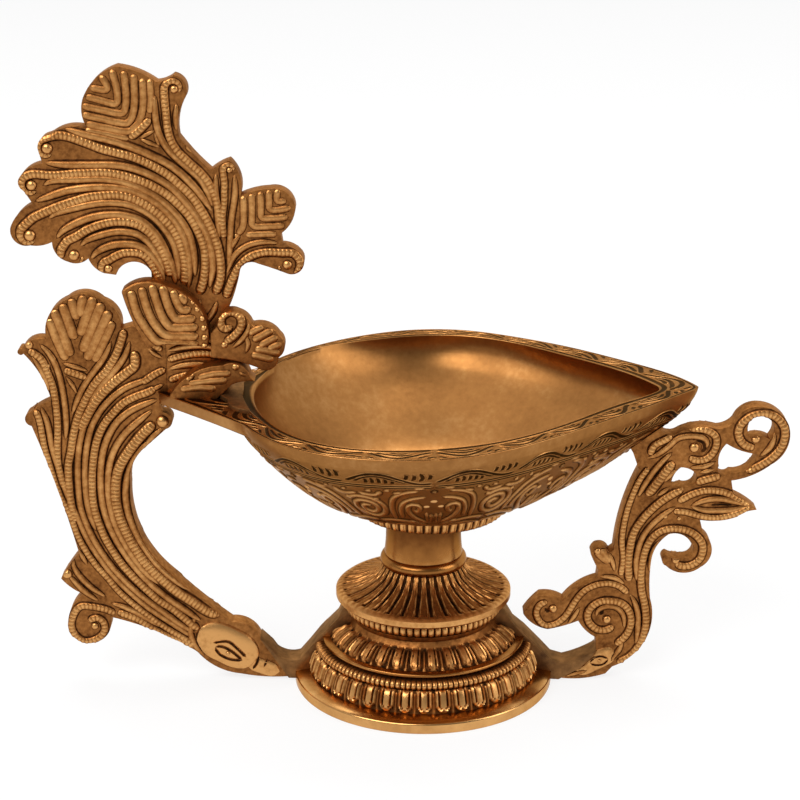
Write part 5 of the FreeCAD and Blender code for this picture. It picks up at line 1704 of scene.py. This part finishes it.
@dataclass
class Studio:
    """Plain white sweep, soft boxes and the camera at the photograph's angle.

    Attributes:
        camera_place: place of the camera, in metres.
        pitch: how far it looks down, in degrees.
        lens, sensor: focal length and width of the sensor, in mm.
        near: distance from which the camera sees, in metres.
        floor_width: width of the floor, in metres.
        floor_glow: share of the floor that shows as plain white, the rest takes the shadow.
        paper: how white the rest of the floor is.
        target: where the soft boxes point, in metres.
        boxes: place, width, height and power of each soft box.
        world_light: strength of the world's light on the lamp.
        mirrored: strength of the room that the metal mirrors, in front and behind.
        mirrored_depth: how far forward and back, on the unit sphere, those two are reached.
    """

    camera_place: tuple[float, float, float] = (-0.0062, -0.520, 0.2544)
    pitch: float = 18.7
    lens: float = 95.625
    sensor: float = 36.0
    near: float = 0.01
    floor_width: float = 6.0
    floor_glow: float = 0.8
    paper: float = 0.9
    target: tuple[float, float, float] = (0.0, 0.0, 0.08)
    boxes: tuple[tuple[tuple[float, float, float], float, float, float], ...] = (
        ((-0.75, -0.95, 1.15), 1.3, 1.0, 22.0),
        ((1.35, -0.45, 0.8), 0.8, 1.2, 9.0),
        ((0.1, 0.5, 1.6), 1.6, 1.0, 14.0),
    )
    world_light: float = 0.45
    mirrored: tuple[float, float] = (0.22, 1.0)
    mirrored_depth: tuple[float, float] = (-0.6, 0.5)

    def build(self) -> None:
        """Set up the camera, the lights, the world and the floor."""
        self.camera()
        self.lights()
        self.world()
        self.floor()

    def camera(self) -> None:
        """Place the camera where the photograph was taken from."""
        data = bpy.data.cameras.new("camera")
        data.lens = self.lens
        data.sensor_width = self.sensor
        data.clip_start = self.near
        camera = put("camera", data)
        camera.location = self.camera_place
        camera.rotation_euler = (math.radians(90 - self.pitch), 0.0, 0.0)
        bpy.context.scene.camera = camera

    def lights(self) -> None:
        """Hang the soft boxes."""
        for number, (place, width, height, power) in enumerate(self.boxes, start=1):
            data = bpy.data.lights.new(f"soft_box_{number}", "AREA")
            data.shape = "RECTANGLE"
            data.size = width
            data.size_y = height
            data.energy = power
            box = put(data.name, data)
            box.location = place
            way = Vector(self.target) - Vector(place)
            box.rotation_euler = way.to_track_quat("-Z", "Y").to_euler()

    def world(self) -> None:
        """Surround the lamp with a white sweep behind and a darker room in front."""
        world = bpy.data.worlds.new("sweep")
        tree = cleared(world)
        rays = add_node(tree, "ShaderNodeLightPath")
        place = add_node(tree, "ShaderNodeTexCoord")
        parts = add_node(tree, "ShaderNodeSeparateXYZ", links={"Vector": place.outputs["Generated"]})
        ends = zip(("From Min", "From Max", "To Min", "To Max"), (*self.mirrored_depth, *self.mirrored))
        depth = add_node(tree, "ShaderNodeMapRange", links={"Value": parts.outputs["Y"]},
                         values=dict(ends))
        room = add_node(tree, "ShaderNodeMix", {"data_type": "FLOAT"},
                        {"Factor": rays.outputs["Is Glossy Ray"], "B": depth.outputs["Result"]},
                        {"A": self.world_light})
        seen = add_node(tree, "ShaderNodeMath", {"operation": "MAXIMUM"},
                        {0: rays.outputs["Is Camera Ray"], 1: rays.outputs["Is Transmission Ray"]})
        level = add_node(tree, "ShaderNodeMix", {"data_type": "FLOAT"},
                         {"Factor": seen.outputs[0], "A": room.outputs["Result"]}, {"B": 1.0})
        sky = add_node(tree, "ShaderNodeBackground", links={"Strength": level.outputs["Result"]},
                       values={"Color": (1.0, 1.0, 1.0, 1.0)})
        add_node(tree, "ShaderNodeOutputWorld", links={"Surface": sky.outputs["Background"]})
        bpy.context.scene.world = world

    def floor(self) -> None:
        """Lay the white floor, which keeps a soft shadow of the lamp."""
        shape = bmesh.new()
        bmesh.ops.create_grid(shape, x_segments=1, y_segments=1, size=0.5 * self.floor_width)
        mesh = mesh_of("floor", shape)
        material = bpy.data.materials.new("white_sweep")
        tree = cleared(material)
        rays = add_node(tree, "ShaderNodeLightPath")
        seen = add_node(tree, "ShaderNodeMath", {"operation": "MAXIMUM"},
                        {0: rays.outputs["Is Camera Ray"], 1: rays.outputs["Is Glossy Ray"]})
        through = add_node(tree, "ShaderNodeMath", {"operation": "MAXIMUM"},
                           {0: seen.outputs[0], 1: rays.outputs["Is Transmission Ray"]})
        share = add_node(tree, "ShaderNodeMath", {"operation": "MULTIPLY"},
                         {0: through.outputs[0]}, {1: self.floor_glow})
        glow = add_node(tree, "ShaderNodeEmission", values={"Strength": 1.0})
        paper = add_node(tree, "ShaderNodeBsdfDiffuse", values={"Color": (*[self.paper] * 3, 1.0)})
        mixed = add_node(tree, "ShaderNodeMixShader",
                         links={0: share.outputs[0], 1: paper.outputs["BSDF"], 2: glow.outputs[0]})
        add_node(tree, "ShaderNodeOutputMaterial", links={"Surface": mixed.outputs["Shader"]})
        mesh.materials.append(material)
        floor = put("floor", mesh)


def main() -> None:
    """Build the lamp's looks in order and write how large they are."""
    logging.basicConfig(level=logging.INFO, format="%(name)s %(message)s")
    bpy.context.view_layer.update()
    bpy.context.scene.view_settings.view_transform = "Standard"
    Studio().build()
    for finish in (CAST, TURNED, SATIN, BRAZE, STEEL):
        METALS[finish.name] = finish.material()
    TurnedFoot().build()
    OilBowl().build()
    leaf_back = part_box("fan_leaf")[1].y
    for node, drawing in (("handle_plume", HANDLE), ("crest_plume", CREST), ("spout_bracket", BRACKET)):
        CastPlate(node, drawing, leaf_back).build()
    for node, drawing in (("fan_leaf", FAN), ("scroll_leaf", SCROLL), ("tail_bird", BIRD)):
        CastPlate(node, drawing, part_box(node)[0].y, two_faced=False).build()
    Brazing().build()
    HiddenFastening().dress()


if __name__ == "__main__":
    main()
